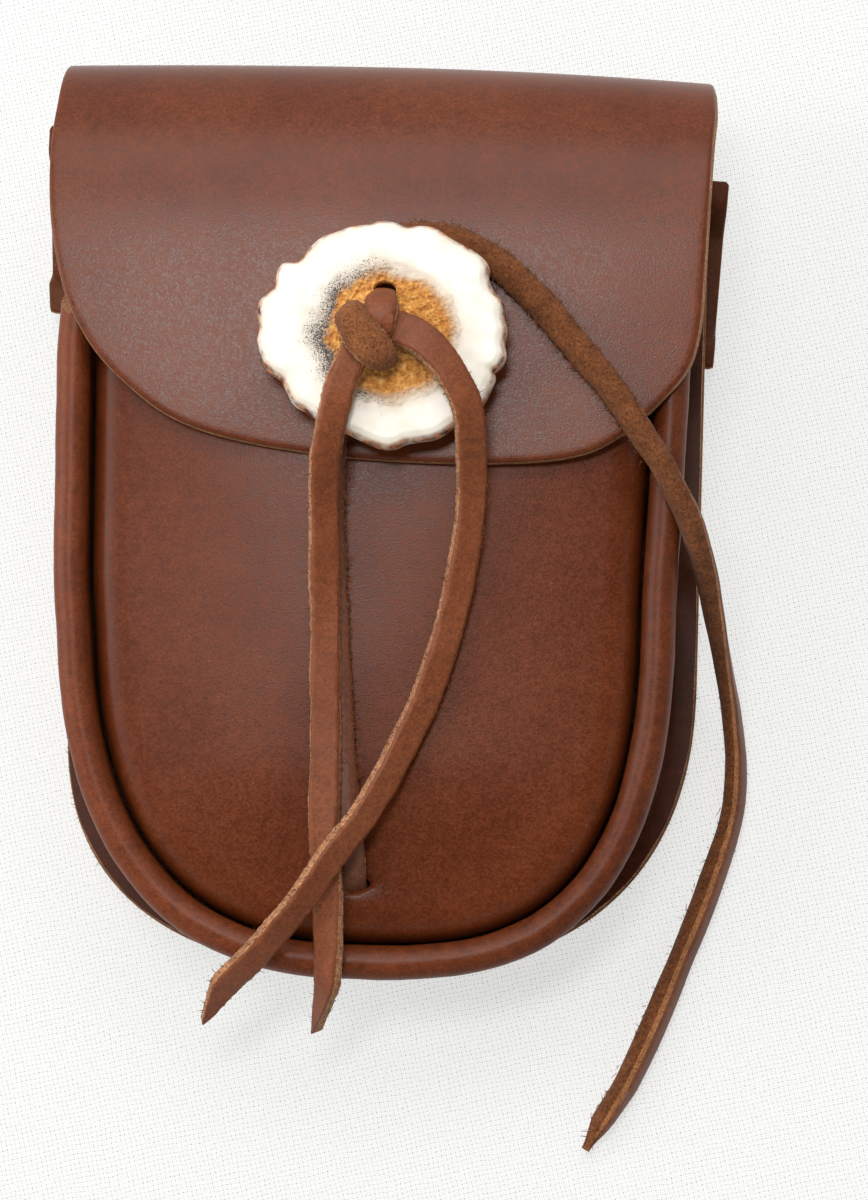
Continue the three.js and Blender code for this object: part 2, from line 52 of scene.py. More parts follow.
# Sizes of the bag in millimetres. They repeat the part's source, with some outlines moved to meet the photograph.
LEATHER, GUSSET_LEATHER, SHEET_GAP = 2.2, 2.0, 0.3
BOTTOM_Y = -82.8
LIFT_Y, LIFT_BLEND, LIFT_SLOPE = -72.0, 8.0, 0.065
FOLD_LOW_Y, FOLD_HIGH_Y, FOLD_Y, FOLD_Z = 62.0, 54.0, 81.2, 13.0
FLAP_MIDDLE_Z = 35.4
FLAP_FLAT_Y, FLAP_POWER = 36.0, 3.2
FOLD_HALF, FOLD_DROOP = {-1: 57.5, 1: 58.5}, {-1: 0.95, 1: 1.9}
BACK = {
    -1: dict(half=56.4, start=-36.0, end=-81.1, power=2.5, spread=0.02),
    1: dict(half=59.0, start=-26.0, end=-81.1, power=2.4, spread=0.0),
}
RIM = {
    -1: dict(half=55.0, start=-12.0, end=BOTTOM_Y, power=2.5, spread=0.02, swell=0.8),
    1: dict(half=54.0, start=-16.3, end=BOTTOM_Y, power=2.75, spread=0.035),
}
FLAP_END_Y = 6.0
BACK_PROUD = 0.2
FLANGE, RIM_TOP, RIM_RADIUS, RIM_NECK, SEAM_DEPTH = 5.0, 33.7, 3.0, 0.9, 3.0
ROLL_DEGREES = np.linspace(-20, 190, 22)
MOUTH_Y, EAR = 32.0, 32.0
PANEL_TOP_Y, PANEL_HALF, PANEL_Z, PANEL_DOME, CREVICE = 29.0, 48.5, 31.0, 3.0, 0.5
SLIT, SLIT_HALF = (-1.4, -66.2), (3.35, 1.25)
LOOP_LENGTH, LOOP_HEIGHT, LOOP_Y, LOOP_TURN = 123.3, 35.1, 53.2, math.radians(-3.5)
BUTTON_X, BUTTON_Y, BUTTON_UNDER, BUTTON_THICK = 1.5, 27.8, 39.9, 5.8
CORE, CORE_HALF = (2.8, 27.4), (11.4, 11.2)
LACE_WIDTH, LACE_THICK, LACE_STEP = 5.2, 2.2, 0.45

# The cut edge of the flap as [x, y], from its right side at the fold round to its left side.
FLAP_EDGE = [
    [58.9, 72.0], [58.3, 65.0], [57.8, 54.0], [57.3, 42.0], [56.6, 31.0], [54.9, 24.5], [50.2, 18.4], [44.0, 12.8],
    [38.6, 9.6], [33.0, 8.1], [24.5, 7.2], [11.5, 6.9], [-3.7, 7.4], [-12.5, 8.3], [-21.5, 9.6], [-30.2, 11.7],
    [-36.2, 14.2], [-41.2, 17.6], [-48.3, 24.1], [-52.0, 29.3], [-54.7, 34.7], [-56.5, 41.0], [-57.8, 47.5],
    [-58.5, 55.4], [-58.6, 64.3], [-58.3, 70.6],
]

# The knobbly edge of the button as [x, y] from the right side round by the top.
BUTTON_EDGE = [
    [23.2, 29.1], [22.6, 31.4], [22.4, 33.7], [20.6, 35.9], [19.8, 37.8], [19.7, 40.1], [18.1, 42.0],
    [16.4, 43.1], [14.3, 44.1], [12.1, 45.4], [10.4, 46.5], [7.9, 46.9], [5.5, 46.7], [3.0, 47.4],
    [0.6, 47.6], [-1.8, 46.9], [-4.6, 46.5], [-7.0, 45.5], [-9.4, 44.6], [-11.3, 42.9], [-12.6, 41.1],
    [-13.9, 40.0], [-16.2, 39.7], [-17.2, 38.0], [-17.3, 35.9], [-18.8, 34.2], [-20.1, 33.0],
    [-20.2, 30.7], [-19.9, 28.2], [-20.2, 26.1], [-19.4, 23.5], [-18.1, 21.0], [-16.0, 19.6],
    [-14.8, 17.6], [-13.5, 15.3], [-11.2, 14.0], [-8.9, 12.5], [-6.3, 11.3], [-3.7, 10.3], [-1.2, 9.2],
    [1.6, 8.1], [4.0, 7.9], [6.2, 8.9], [8.8, 9.4], [11.5, 10.0], [13.9, 11.5], [16.1, 13.1],
    [18.3, 14.8], [19.8, 16.6], [20.7, 18.7], [21.4, 20.4], [21.2, 21.7], [22.5, 22.8], [23.2, 24.5],
    [22.9, 26.6],
]

# Routes of the laces as rows of x, y, z and roll in degrees.
LEFT_ROUTE = [
    [-3.0, 22.0, 54.9, 8], [-4.5, 18.6, 54.7, 10], [-5.4, 15.2, 54.3, 12], [-6.2, 11.8, 53.4, 14],
    [-6.8, 8.6, 51.8, 16], [-7.4, 5.5, 50.1, 18], [-7.6, -1.0, 46.6, 20], [-7.4, -7.6, 44.4, 18],
    [-7.1, -16.0, 42.5, 12], [-6.8, -24.7, 41.3, 7], [-6.5, -35.1, 40.3, 3], [-6.2, -45.4, 39.5, 0],
    [-6.1, -55.0, 38.8, -3], [-5.5, -64.0, 38.0, -12], [-5.0, -71.0, 37.2, -24], [-4.7, -78.0, 36.3, -34],
    [-4.8, -83.1, 34.7, -40], [-5.1, -87.4, 31.2, -43], [-5.5, -91.4, 27.0, -45],
]
RIGHT_ROUTE = [
    [8.2, 26.4, 55.3, 8], [12.5, 22.5, 55.0, 12], [14.8, 19.1, 54.5, 15], [16.5, 15.9, 53.6, 17],
    [17.4, 12.8, 52.0, 18], [17.6, 9.7, 49.9, 19], [17.7, 6.6, 47.6, 20], [17.8, 3.4, 45.6, 20],
    [17.7, -1.4, 43.4, 20], [17.2, -6.5, 41.9, 20], [16.2, -13.4, 40.6, 20], [14.0, -23.9, 39.4, 20],
    [10.7, -34.4, 38.8, 24], [7.6, -41.4, 38.7, 28], [4.3, -48.5, 39.3, 32], [0.4, -55.6, 41.0, 35],
    [-2.3, -59.2, 42.1, 36], [-4.7, -62.7, 42.5, 37], [-6.9, -66.2, 42.3, 38], [-9.2, -69.7, 41.8, 39],
    [-13.4, -74.9, 40.3, 40], [-17.9, -80.0, 38.0, 41], [-21.6, -83.5, 35.2, 42], [-25.0, -86.9, 32.2, 42],
    [-28.4, -90.2, 29.0, 42],
]
THONG_ROUTE = [
    [-1.3, -67.4, 27.4, 180], [-1.3, -66.8, 30.5, 180], [-1.4, -65.2, 33.4, 180], [-1.6, -61.8, 35.1, 180],
    [-2.3, -56.0, 36.0, 180], [-3.6, -45.1, 37.0, 180], [-4.6, -33.0, 37.9, 180], [-5.7, -20.0, 38.8, 180],
    [-6.6, -7.0, 40.0, 180], [-6.9, -0.2, 41.9, 180], [-6.8, 5.4, 43.4, 180], [-6.7, 11.5, 43.8, 180],
    [-6.6, 18.5, 44.2, 180], [-6.3, 26.5, 44.7, 180], [-5.2, 34.6, 45.2, 180], [-2.6, 41.0, 45.6, 180],
    [2.3, 44.7, 45.8, 180], [8.4, 46.2, 45.9, 180], [13.6, 45.6, 45.9, 180], [18.0, 43.5, 45.8, 178],
    [23.4, 39.8, 45.7, 174], [28.7, 35.0, 45.6, 168], [34.1, 28.8, 45.5, 161], [39.5, 22.7, 45.4, 153],
    [43.4, 17.6, 45.3, 146], [47.0, 12.4, 44.9, 136], [50.2, 8.0, 43.7, 125], [52.7, 3.8, 42.4, 116],
    [55.3, -0.7, 40.0, 109], [57.5, -5.6, 35.8, 102], [59.4, -10.4, 30.0, 95], [61.1, -16.0, 23.0, 88],
    [63.4, -24.0, 14.0, 78], [65.5, -32.4, 7.4, 68], [66.7, -41.0, 3.9, 62], [66.2, -50.5, 3.0, 60],
    [62.3, -64.0, 3.0, 60], [56.0, -81.0, 3.0, 60], [49.1, -97.8, 3.0, 60], [41.4, -112.2, 2.6, 60],
]

# How the tails start under the knot, and how the left one ends in a point.
LEFT_START = [[-1.4, 26.6, 54.2, 2], [-2.2, 24.2, 54.7, 5]]
LEFT_TIP = [[-5.8, -93.3, 25.2, -45]]
RIGHT_START = [[2.6, 28.6, 54.2, 0], [5.2, 27.7, 54.9, 4]]


def add_object(name, data):
    thing = bpy.data.objects.new(name, data)
    bpy.context.scene.collection.objects.link(thing)
    return thing


def make_camera():
    back = Vector((math.tan(math.radians(CAMERA_TILT_X)), -math.tan(math.radians(CAMERA_TILT_Y)), 1))
    back.normalize()
    level = Vector((1, 0, 0))
    level = (level - level.dot(back) * back).normalized()
    down = (-back).cross(level)
    roll = math.radians(CAMERA_ROLL)
    right = math.cos(roll) * level - math.sin(roll) * down
    up = -(math.sin(roll) * level + math.cos(roll) * down)
    data = bpy.data.cameras.new("camera")
    data.sensor_width = SENSOR_MM
    data.lens = SENSOR_MM * FOCAL_PX / IMAGE_HEIGHT_PX
    data.clip_start = CLIP_START_M
    camera = add_object("camera", data)
    place = (Vector(CAMERA_TARGET) + back * CAMERA_DISTANCE) * MM
    camera.matrix_world = Matrix.Translation(place) @ Matrix((right, up, back)).transposed().to_4x4()
    bpy.context.scene.camera = camera


# Shape helpers

def lift(y):
    """How high the underside of the back lies above the cloth at y."""
    past = np.asarray(y, float) - LIFT_Y
    blend = LIFT_SLOPE * (past + LIFT_BLEND) ** 2 / (4 * LIFT_BLEND)
    return np.where(past <= -LIFT_BLEND, 0.0, np.where(past >= LIFT_BLEND, LIFT_SLOPE * past, blend))


def smoothstep(value, low, high):
    share = np.clip((np.asarray(value, float) - low) / (high - low), 0, 1)
    return share * share * (3 - 2 * share)


def unit(vectors):
    """A vector, or rows of vectors, with length 1."""
    return vectors / np.maximum(np.linalg.norm(vectors, axis=-1, keepdims=True), 1e-9)


def table(*columns):
    """Rows from columns, each of which is a list or one number for all rows."""
    return np.column_stack(np.broadcast_arrays(*columns))


def ripple(points, pitch, seed=0.0):
    """Smooth noise from -1 to 1 at points, with swells about one pitch apart."""
    shifted = np.asarray(points, float) / pitch + np.array([seed, -1.7 * seed, 2.3 * seed])
    return np.array([noise.noise(Vector(p)) for p in shifted])


def curve_through(rows, parts=24):
    """A dense smooth line through rows of numbers, whose first three are a place."""
    rows = np.asarray(rows, float)
    padded = np.vstack([2 * rows[0] - rows[1], rows, 2 * rows[-1] - rows[-2]])
    line = []
    for i in range(len(rows) - 1):
        a, b, c, d = padded[i : i + 4]
        gaps = [max(np.linalg.norm(q[:3] - p[:3]) ** 0.5, 1e-6) for p, q in ((a, b), (b, c), (c, d))]
        leave = ((b - a) / gaps[0] - (c - a) / (gaps[0] + gaps[1]) + (c - b) / gaps[1]) * gaps[1]
        reach = ((c - b) / gaps[1] - (d - b) / (gaps[1] + gaps[2]) + (d - c) / gaps[2]) * gaps[1]
        t = np.arange(parts)[:, None] / parts
        line.append(
            (2 * t**3 - 3 * t**2 + 1) * b
            + (t**3 - 2 * t**2 + t) * leave
            + (3 * t**2 - 2 * t**3) * c
            + (t**3 - t**2) * reach
        )
    return np.vstack([*line, rows[-1:]])


def lengths_along(line):
    steps = np.linalg.norm(np.diff(line[:, :3], axis=0), axis=1)
    return np.concatenate([[0.0], np.cumsum(steps)])


def evenly(line, step):
    """The line again with points one step apart."""
    along = lengths_along(line)
    count = max(2, int(round(along[-1] / step)) + 1)
    at = np.linspace(0, along[-1], count)
    return np.stack([np.interp(at, along, line[:, k]) for k in range(line.shape[1])], axis=1)


def make_piece(name, points, faces, kinds, materials, sharp=None):
    """A mesh object from points in millimetres, with normals that point out and a material for each kind of face."""
    mesh = bpy.data.meshes.new(name)
    mesh.from_pydata((np.asarray(points, float) * MM).tolist(), [], faces)
    for material in materials:
        mesh.materials.append(MATERIALS[material])
    mesh.polygons.foreach_set("material_index", np.asarray(kinds, np.int32))
    mesh.polygons.foreach_set("use_smooth", np.ones(len(faces), bool))
    form = bmesh.new()
    form.from_mesh(mesh)
    bmesh.ops.recalc_face_normals(form, faces=form.faces)
    form.to_mesh(mesh)
    form.free()
    if sharp:
        mesh.set_sharp_from_angle(angle=math.radians(sharp))
    return add_object(name, mesh)


def numbered(rows, columns):
    """The numbers of points that lie in rows, row by row."""
    return np.arange(rows * columns).reshape(rows, columns).tolist()


def quads(first, second, closed=True):
    """Faces between two lines of points."""
    pairs = list(zip(first, second))
    after = pairs[1:] + pairs[:1] if closed else pairs[1:]
    return [(a, c, d, b) for (a, b), (c, d) in zip(pairs, after)]


def fan(points, line):
    """Points with the middle of a closed line of them added, and faces from there to the line."""
    faces = [(len(points), a, b) for a, b in zip(line, line[1:] + line[:1])]
    return np.vstack([points, points[line].mean(axis=0)]), faces


def circle(centre, radius, side, up, count):
    turn = np.linspace(0, 2 * math.pi, count, endpoint=False)
    return centre + radius * (np.outer(np.cos(turn), side) + np.outer(np.sin(turn), up))


def tube(rings, kind=0):
    """Points, faces and face kinds of a closed tube through rings of points."""
    lines = numbered(len(rings), len(rings[0]))
    faces = [tuple(lines[0][::-1]), tuple(lines[-1])]
    for a, b in zip(lines, lines[1:]):
        faces += quads(a, b)
    return np.vstack(rings), faces, [kind] * len(faces)


def joined(*bodies):
    points, faces, kinds = [], [], []
    for body_points, body_faces, body_kinds in bodies:
        start = sum(len(p) for p in points)
        points.append(body_points)
        faces += [tuple(start + v for v in f) for f in body_faces]
        kinds += body_kinds
    return np.vstack(points), faces, kinds


def shell(top, under, edge_points=3, bulge=0.12, ring=False):
    """Points, faces and face kinds of a body between two grids: 0 top, 1 edge, 2 under.

    The rows of a ring run round an open middle, whose border gets no edge.
    """
    rows, columns = np.shape(top)[:2]
    points = np.concatenate([np.reshape(top, (-1, 3)), np.reshape(under, (-1, 3))])
    lines, below = numbered(rows, columns), rows * columns
    upper_faces = []
    for a, b in zip(lines, lines[1:] + lines[:1] if ring else lines[1:]):
        upper_faces += quads(a, b, closed=False)
    lower_faces = [tuple(below + v for v in (f[0], f[3], f[2], f[1])) for f in upper_faces]
    border = [line[-1] for line in lines]
    if not ring:
        border = lines[0][:-1] + border + lines[-1][-2::-1] + [line[0] for line in lines[-2:0:-1]]
    upper, lower = points[border], points[[below + v for v in border]]
    middle = (upper + lower) / 2
    along = np.roll(middle, -1, axis=0) - np.roll(middle, 1, axis=0)
    out = unit(np.cross(along, upper - lower))
    edge_faces, last = [], border
    for k in range(1, edge_points + 1):
        share = k / (edge_points + 1)
        line = list(range(len(points), len(points) + len(border)))
        swell = out * bulge * 4 * share * (1 - share)
        points = np.concatenate([points, upper * (1 - share) + lower * share + swell])
        edge_faces += quads(last, line)
        last = line
    edge_faces += quads(last, [below + v for v in border])
    kinds = [0] * len(upper_faces) + [2] * len(lower_faces) + [1] * len(edge_faces)
    return points, upper_faces + lower_faces + edge_faces, kinds


def inside(loop, points):
    """Which points lie within a closed loop."""
    x, y = points[:, 0][:, None], points[:, 1][:, None]
    a, b = loop, np.roll(loop, -1, axis=0)
    crosses = (a[:, 1] > y) != (b[:, 1] > y)
    rise = np.where(np.abs(b[:, 1] - a[:, 1]) < 1e-12, 1e-12, b[:, 1] - a[:, 1])
    at = a[:, 0] + (y - a[:, 1]) / rise * (b[:, 0] - a[:, 0])
    return np.sum(crosses & (x < at), axis=1) % 2 == 1


def slab(outline, edge_rows, spacing):
    """A flat cut shape as points [u, v, height], faces and kinds, with a worked edge.

    The outline runs anticlockwise. The edge rows are (inset, height, kind) from the upper face to the lower.
    """
    ahead = np.roll(outline, -1, axis=0) - np.roll(outline, 1, axis=0)
    out = unit(table(ahead[:, 1], -ahead[:, 0]))
    count = len(outline)
    rings = [table(*(outline - out * inset).T, height) for inset, height, _ in edge_rows]
    loop = rings[0][:, :2]
    low, high = loop.min(axis=0), loop.max(axis=0)
    grid = []
    for k, v in enumerate(np.arange(low[1], high[1], spacing * math.sqrt(3) / 2)):
        grid.append(table(np.arange(low[0] + (k % 2) * spacing / 2, high[0], spacing), v))
    grid = np.vstack(grid)
    grid = grid[inside(loop, grid)]
    batches = np.array_split(grid, 1 + len(grid) // 2000)
    gaps = [np.min(np.linalg.norm(part[:, None] - loop[None], axis=2), axis=1) for part in batches]
    grid = grid[np.concatenate(gaps) > 0.6 * spacing]
    flat = [Vector(p) for p in np.vstack([loop, grid])]
    border = [(i, (i + 1) % count) for i in range(count)]
    _, _, triangles, origins, _, _ = delaunay_2d_cdt(flat, border, [], 1, 1e-5)
    faces, kinds = [], []
    lines = numbered(len(rings), count)
    for upper, lower, (_, _, kind) in zip(lines, lines[1:], edge_rows[1:]):
        faces += quads(upper, lower)
        kinds += [kind] * count
    first_top = len(rings) * count
    first_low = first_top + len(grid)
    for corners in triangles:
        corners = [origins[v][0] for v in corners]
        faces.append(tuple(v if v < count else first_top + v - count for v in corners))
        faces.append(tuple(lines[-1][v] if v < count else first_low + v - count for v in reversed(corners)))
        kinds += [0, 2]
    upper, lower = (table(*grid.T, edge_rows[k][1]) for k in (0, -1))
    return np.vstack([*rings, upper, lower]), faces, kinds


def half_width(side, y):
    down = np.clip((side["start"] - y) / (side["start"] - side["end"]), 0, 1)
    round_part = side["half"] * (1 - down ** side["power"]) ** (1 / side["power"])
    return round_part + side["spread"] * np.maximum(0, y - side["start"])


def round_end(side, steps):
    """Half width and y along a round end, from its start to its middle."""
    angle = np.linspace(0, math.pi / 2, steps)
    power = 2 / side["power"]
    x = side["half"] * np.cos(angle).clip(0) ** power
    return x, side["start"] - (side["start"] - side["end"]) * np.sin(angle) ** power


def outline_at(outline, stations, top_y):
    """Places and outward directions of an outline at stations (side, up, angle)."""
    places, outs = [], []
    for sign, up, angle in stations:
        side = outline[sign]
        power = 2 / side["power"]
        depth = side["start"] - side["end"]
        across, down = max(0.0, math.cos(angle)), math.sin(angle)
        rise = up * (top_y - side["start"])
        x = side["half"] * across**power + side["spread"] * rise
        y = side["start"] + rise - depth * down**power
        x += side.get("swell", 0.0) * smoothstep(y, -26.0, -10.0) * (1 - smoothstep(y, 24.0, 40.0))
        places.append((sign * x, y))
        outs.append((sign * across ** (2 - power) / side["half"], -(down ** (2 - power)) / depth))
    return np.array(places), unit(np.array(outs))


def stations(side_steps, corner_steps):
    """Stations round the U from the left end to the right."""
    half = [(k / side_steps, 0.0) for k in range(side_steps, 0, -1)]
    half += [(0.0, k / corner_steps * math.pi / 2) for k in range(corner_steps + 1)]
    left = [(-1, up, angle) for up, angle in half]
    right = [(1, up, angle) for up, angle in half[:-1]]
    return left + right[::-1]


# Materials

def feed(tree, socket, value):
    """Links a socket to another one, or sets it."""
    if isinstance(value, bpy.types.NodeSocket):
        tree.links.new(value, socket)
    else:
        socket.default_value = (*value, 1.0) if socket.type == "RGBA" else value


def add_node(tree, kind, settings=(), *values, **inputs):
    """A node with its settings, and its sockets fed in their order or by name."""
    node = tree.nodes.new("ShaderNode" + kind)
    for key, value in dict(settings).items():
        setattr(node, key, value)
    for socket, value in zip(node.inputs, values):
        feed(tree, socket, value)
    for key, value in inputs.items():
        feed(tree, node.inputs[key.replace("_", " ")], value)
    return node


def set_stops(ramp, stops):
    """Gives a ramp its stops of place and colour."""
    elements = ramp.color_ramp.elements
    while len(elements) < len(stops):
        elements.new(0.5)
    for element, (at, colour) in zip(elements, stops):
        element.position = at
        element.color = (*colour, 1.0)


class Paint:
    """A material under construction, with textures measured in millimetres."""

    def __init__(self, name, **shader):
        self.material = bpy.data.materials.new(name)
        self.material.use_nodes = True
        self.tree = self.material.node_tree
        self.tree.nodes.clear()
        self.shader = self.node("BsdfPrincipled", **shader)
        self.node("OutputMaterial", (), self.shader.outputs[0])
        where = self.node("TexCoord").outputs["Object"]
        self.place = self.vector("SCALE", where, Scale=1 / MM).outputs[0]

    def node(self, *args, **inputs):
        return add_node(self.tree, *args, **inputs)

    def vector(self, operation, *values, **inputs):
        return self.node("VectorMath", {"operation": operation}, *values, **inputs)

    def math(self, operation, *values):
        return self.node("Math", {"operation": operation}, *values).outputs[0]

    def times(self, a, b):
        return self.math("MULTIPLY", a, b)

    def plus(self, a, b):
        return self.math("ADD", a, b)

    def noise(self, scale, detail=3.0, roughness=0.55, distortion=0.0):
        look = dict(Scale=scale, Detail=detail, Roughness=roughness, Distortion=distortion)
        return self.node("TexNoise", Vector=self.place, **look).outputs["Fac"]

    def cells(self, scale):
        return self.node("TexVoronoi", Vector=self.place, Scale=scale).outputs["Distance"]

    def speckle(self, scale):
        colour = self.node("TexVoronoi", Vector=self.place, Scale=scale).outputs["Color"]
        return self.node("SeparateColor", (), colour).outputs[0]

    def attribute(self, name):
        return self.node("Attribute", {"attribute_name": name}).outputs["Fac"]

    def between(self, value, low, high, to_low=0.0, to_high=1.0):
        return self.node("MapRange", (), value, low, high, to_low, to_high).outputs[0]

    def ramp(self, value, stops):
        node = self.node("ValToRGB", (), value)
        set_stops(node, [(at, (c,) * 3 if isinstance(c, (int, float)) else c) for at, c in stops])
        return node.outputs["Color"]

    def mix(self, share, a, b, blend="MIX"):
        node = self.node("Mix", {"data_type": "RGBA", "blend_type": blend}, share)
        for socket, colour in zip(node.inputs[6:8], (a, b)):
            feed(self.tree, socket, colour)
        return node.outputs[2]

    def toned(self, tone, value, stops, share=1.0):
        """The tone made darker and lighter by a ramp of factors."""
        return self.mix(share, tone, self.ramp(value, stops), "MULTIPLY")

    def finish(self, colour, roughness, height, depth):
        bump = self.node("Bump", Strength=1.0, Distance=depth * MM, Height=height).outputs[0]
        for name, value in (("Base Color", colour), ("Roughness", roughness), ("Normal", bump)):
            self.tree.links.new(value, self.shader.inputs[name])
        return self.material


def grain_leather(name, colour, roughness, grain_depth, mottled=1.0, specular=0.17, shaded=False):
    """Smooth oiled leather: fine stippled grain, faint clouds of colour and small orange flecks."""
    paint = Paint(name, Specular_IOR_Level=specular)
    deep, light = [tuple(c * k for c, k in zip(colour, ks)) for ks in ((0.86, 0.8, 0.76), (1.1, 1.16, 1.22))]
    mottle = paint.noise(0.42, 4.0, 0.65)
    stipple = paint.noise(3.6, 2.0, 0.6)
    pebble = paint.cells(3.2)
    speck = paint.speckle(2.7)
    fleck = paint.times(paint.between(paint.cells(0.8), 0.13, 0.06), paint.between(mottle, 0.5, 0.62))
    spread = 0.15 * mottled
    tone = paint.ramp(paint.noise(0.06), [(0.3, deep), (0.5, colour), (0.72, light)])
    tone = paint.toned(tone, mottle, [(0.28, 1 - spread), (0.5, 1.0), (0.76, 1 + 0.8 * spread)])
    tone = paint.toned(tone, stipple, [(0.3, 0.9), (0.5, 1.0), (0.72, 1.12)])
    tone = paint.toned(tone, speck, [(0.0, 0.8), (0.5, 1.0), (1.0, 1.22)])
    tone = paint.toned(tone, pebble, [(0.0, 1.1), (0.5, 1.0), (0.85, 0.8)], 0.3)
    tone = paint.mix(paint.times(fleck, 0.6), tone, (0.3, 0.085, 0.026))
    # Painted shade: the 'shade' attribute darkens the colour where shade falls.
    if shaded:
        tone = paint.toned(tone, paint.attribute("shade"), [(0.0, 0.42), (1.0, 1.0)])
    height = paint.plus(paint.times(pebble, -1.0), paint.times(stipple, 0.4))
    uneven = paint.plus(paint.times(speck, 0.8), paint.times(mottle, 0.5))
    gloss = paint.between(uneven, 0.2, 1.1, roughness - 0.05, roughness + 0.07)
    return paint.finish(tone, gloss, height, grain_depth)


def raw_leather(name, dark, light, depth=0.09, coarse=1.0):
    """Cut edges and the flesh side: fibrous, matt and uneven."""
    paint = Paint(name, Specular_IOR_Level=0.12, Sheen_Weight=0.06, Sheen_Roughness=0.5)
    fibres = paint.noise(2.2 / coarse, 4.0, 0.75, distortion=0.8)
    nap = paint.noise(5.5, 2.0)
    tone = paint.ramp(fibres, [(0.34, dark), (0.64, light)])
    tone = paint.toned(tone, paint.noise(0.3, 3.0, 0.6), [(0.3, 0.62), (0.7, 1.22)], 0.7)
    tone = paint.toned(tone, nap, [(0.3, 0.55), (0.7, 1.45)], 0.6 / coarse)
    height = paint.plus(fibres, paint.times(nap, 0.5))
    return paint.finish(tone, paint.between(nap, 0.2, 0.8, 0.78, 0.95), height, depth)


def antler_bone():
    """A slice of antler: a white ring, a spongy orange core, dark specks round it and a stained edge."""
    paint = Paint("antler", Specular_IOR_Level=0.4)
    middle = paint.vector("SUBTRACT", paint.place, (*CORE, 0.0)).outputs[0]
    oval = paint.vector("MULTIPLY", middle, (1 / CORE_HALF[0], 1 / CORE_HALF[1], 0.0)).outputs[0]
    wander = paint.times(paint.math("SUBTRACT", paint.noise(0.2), 0.5), 0.38)
    radius = paint.plus(paint.vector("LENGTH", oval).outputs["Value"], wander)
    sponge = paint.noise(0.9, 4.0, 0.65)
    pore = paint.cells(1.5)
    core = paint.ramp(sponge, [(0.3, (0.36, 0.12, 0.017)), (0.5, (0.66, 0.27, 0.048)), (0.7, (0.9, 0.53, 0.15))])
    core = paint.toned(core, pore, [(0.06, 0.2), (0.26, 1.0)], 0.75)
    core = paint.mix(paint.between(radius, 0.55, 1.0, 0.0, 0.35), core, (0.42, 0.17, 0.045))
    bone = paint.ramp(paint.noise(0.3), [(0.3, (0.67, 0.615, 0.51)), (0.6, (0.74, 0.7, 0.615))])
    bone = paint.mix(paint.between(radius, 1.26, 0.98, 0.0, 0.5), bone, (0.56, 0.34, 0.16))
    tone = paint.mix(paint.between(radius, 0.9, 1.04), core, bone)
    left = paint.between(paint.node("SeparateXYZ", (), oval).outputs[0], 0.35, -0.75, 0.36, 1.0)
    ring = paint.times(paint.between(radius, 1.52, 1.0), paint.between(radius, 0.84, 0.98))
    patchy = paint.between(paint.noise(0.16, 2.0), 0.3, 0.55, 0.75, 1.0)
    halo = paint.times(paint.times(ring, left), patchy)
    smoke = paint.times(paint.math("POWER", halo, 1.6), 0.5)
    tone = paint.mix(smoke, tone, (0.2, 0.17, 0.15))
    limit = paint.between(halo, 0.0, 1.0, 0.82, 0.42)
    speck = paint.between(paint.math("SUBTRACT", paint.noise(4.2, 2.0, 0.6), limit), -0.02, 0.05)
    tone = paint.mix(speck, tone, (0.05, 0.048, 0.05))
    rim = paint.math("POWER", paint.between(paint.attribute("reach"), 0.94, 0.995), 1.7)
    stain = paint.between(paint.noise(0.4, 3.0, 0.6), 0.38, 0.58, 0.2, 1.0)
    edge = paint.ramp(paint.noise(0.7), [(0.38, (0.1, 0.03, 0.022)), (0.6, (0.6, 0.28, 0.14))])
    tone = paint.mix(paint.times(rim, stain), tone, edge)
    height = paint.times(paint.plus(pore, sponge), paint.between(radius, 1.1, 0.95))
    return paint.finish(tone, paint.between(radius, 0.9, 1.15, 0.75, 0.34), height, 0.4)


def thread_material():
    paint = Paint("waxed_thread", Specular_IOR_Level=0.4)
    twist = paint.noise(3.0, 2.0)
    colour = paint.ramp(twist, [(0.3, (0.03, 0.013, 0.008)), (0.7, (0.075, 0.033, 0.02))])
    return paint.finish(colour, paint.between(twist, 0.2, 0.8, 0.5, 0.7), twist, 0.1)


# The cloth glows a little, so that the shadows on it stay faint.
CLOTH_WHITE, CLOTH_GLOW = (0.28, 0.28, 0.275), 0.64
WEAVE_PITCH, WEAVE_TURN = 0.836, math.radians(-14.0)


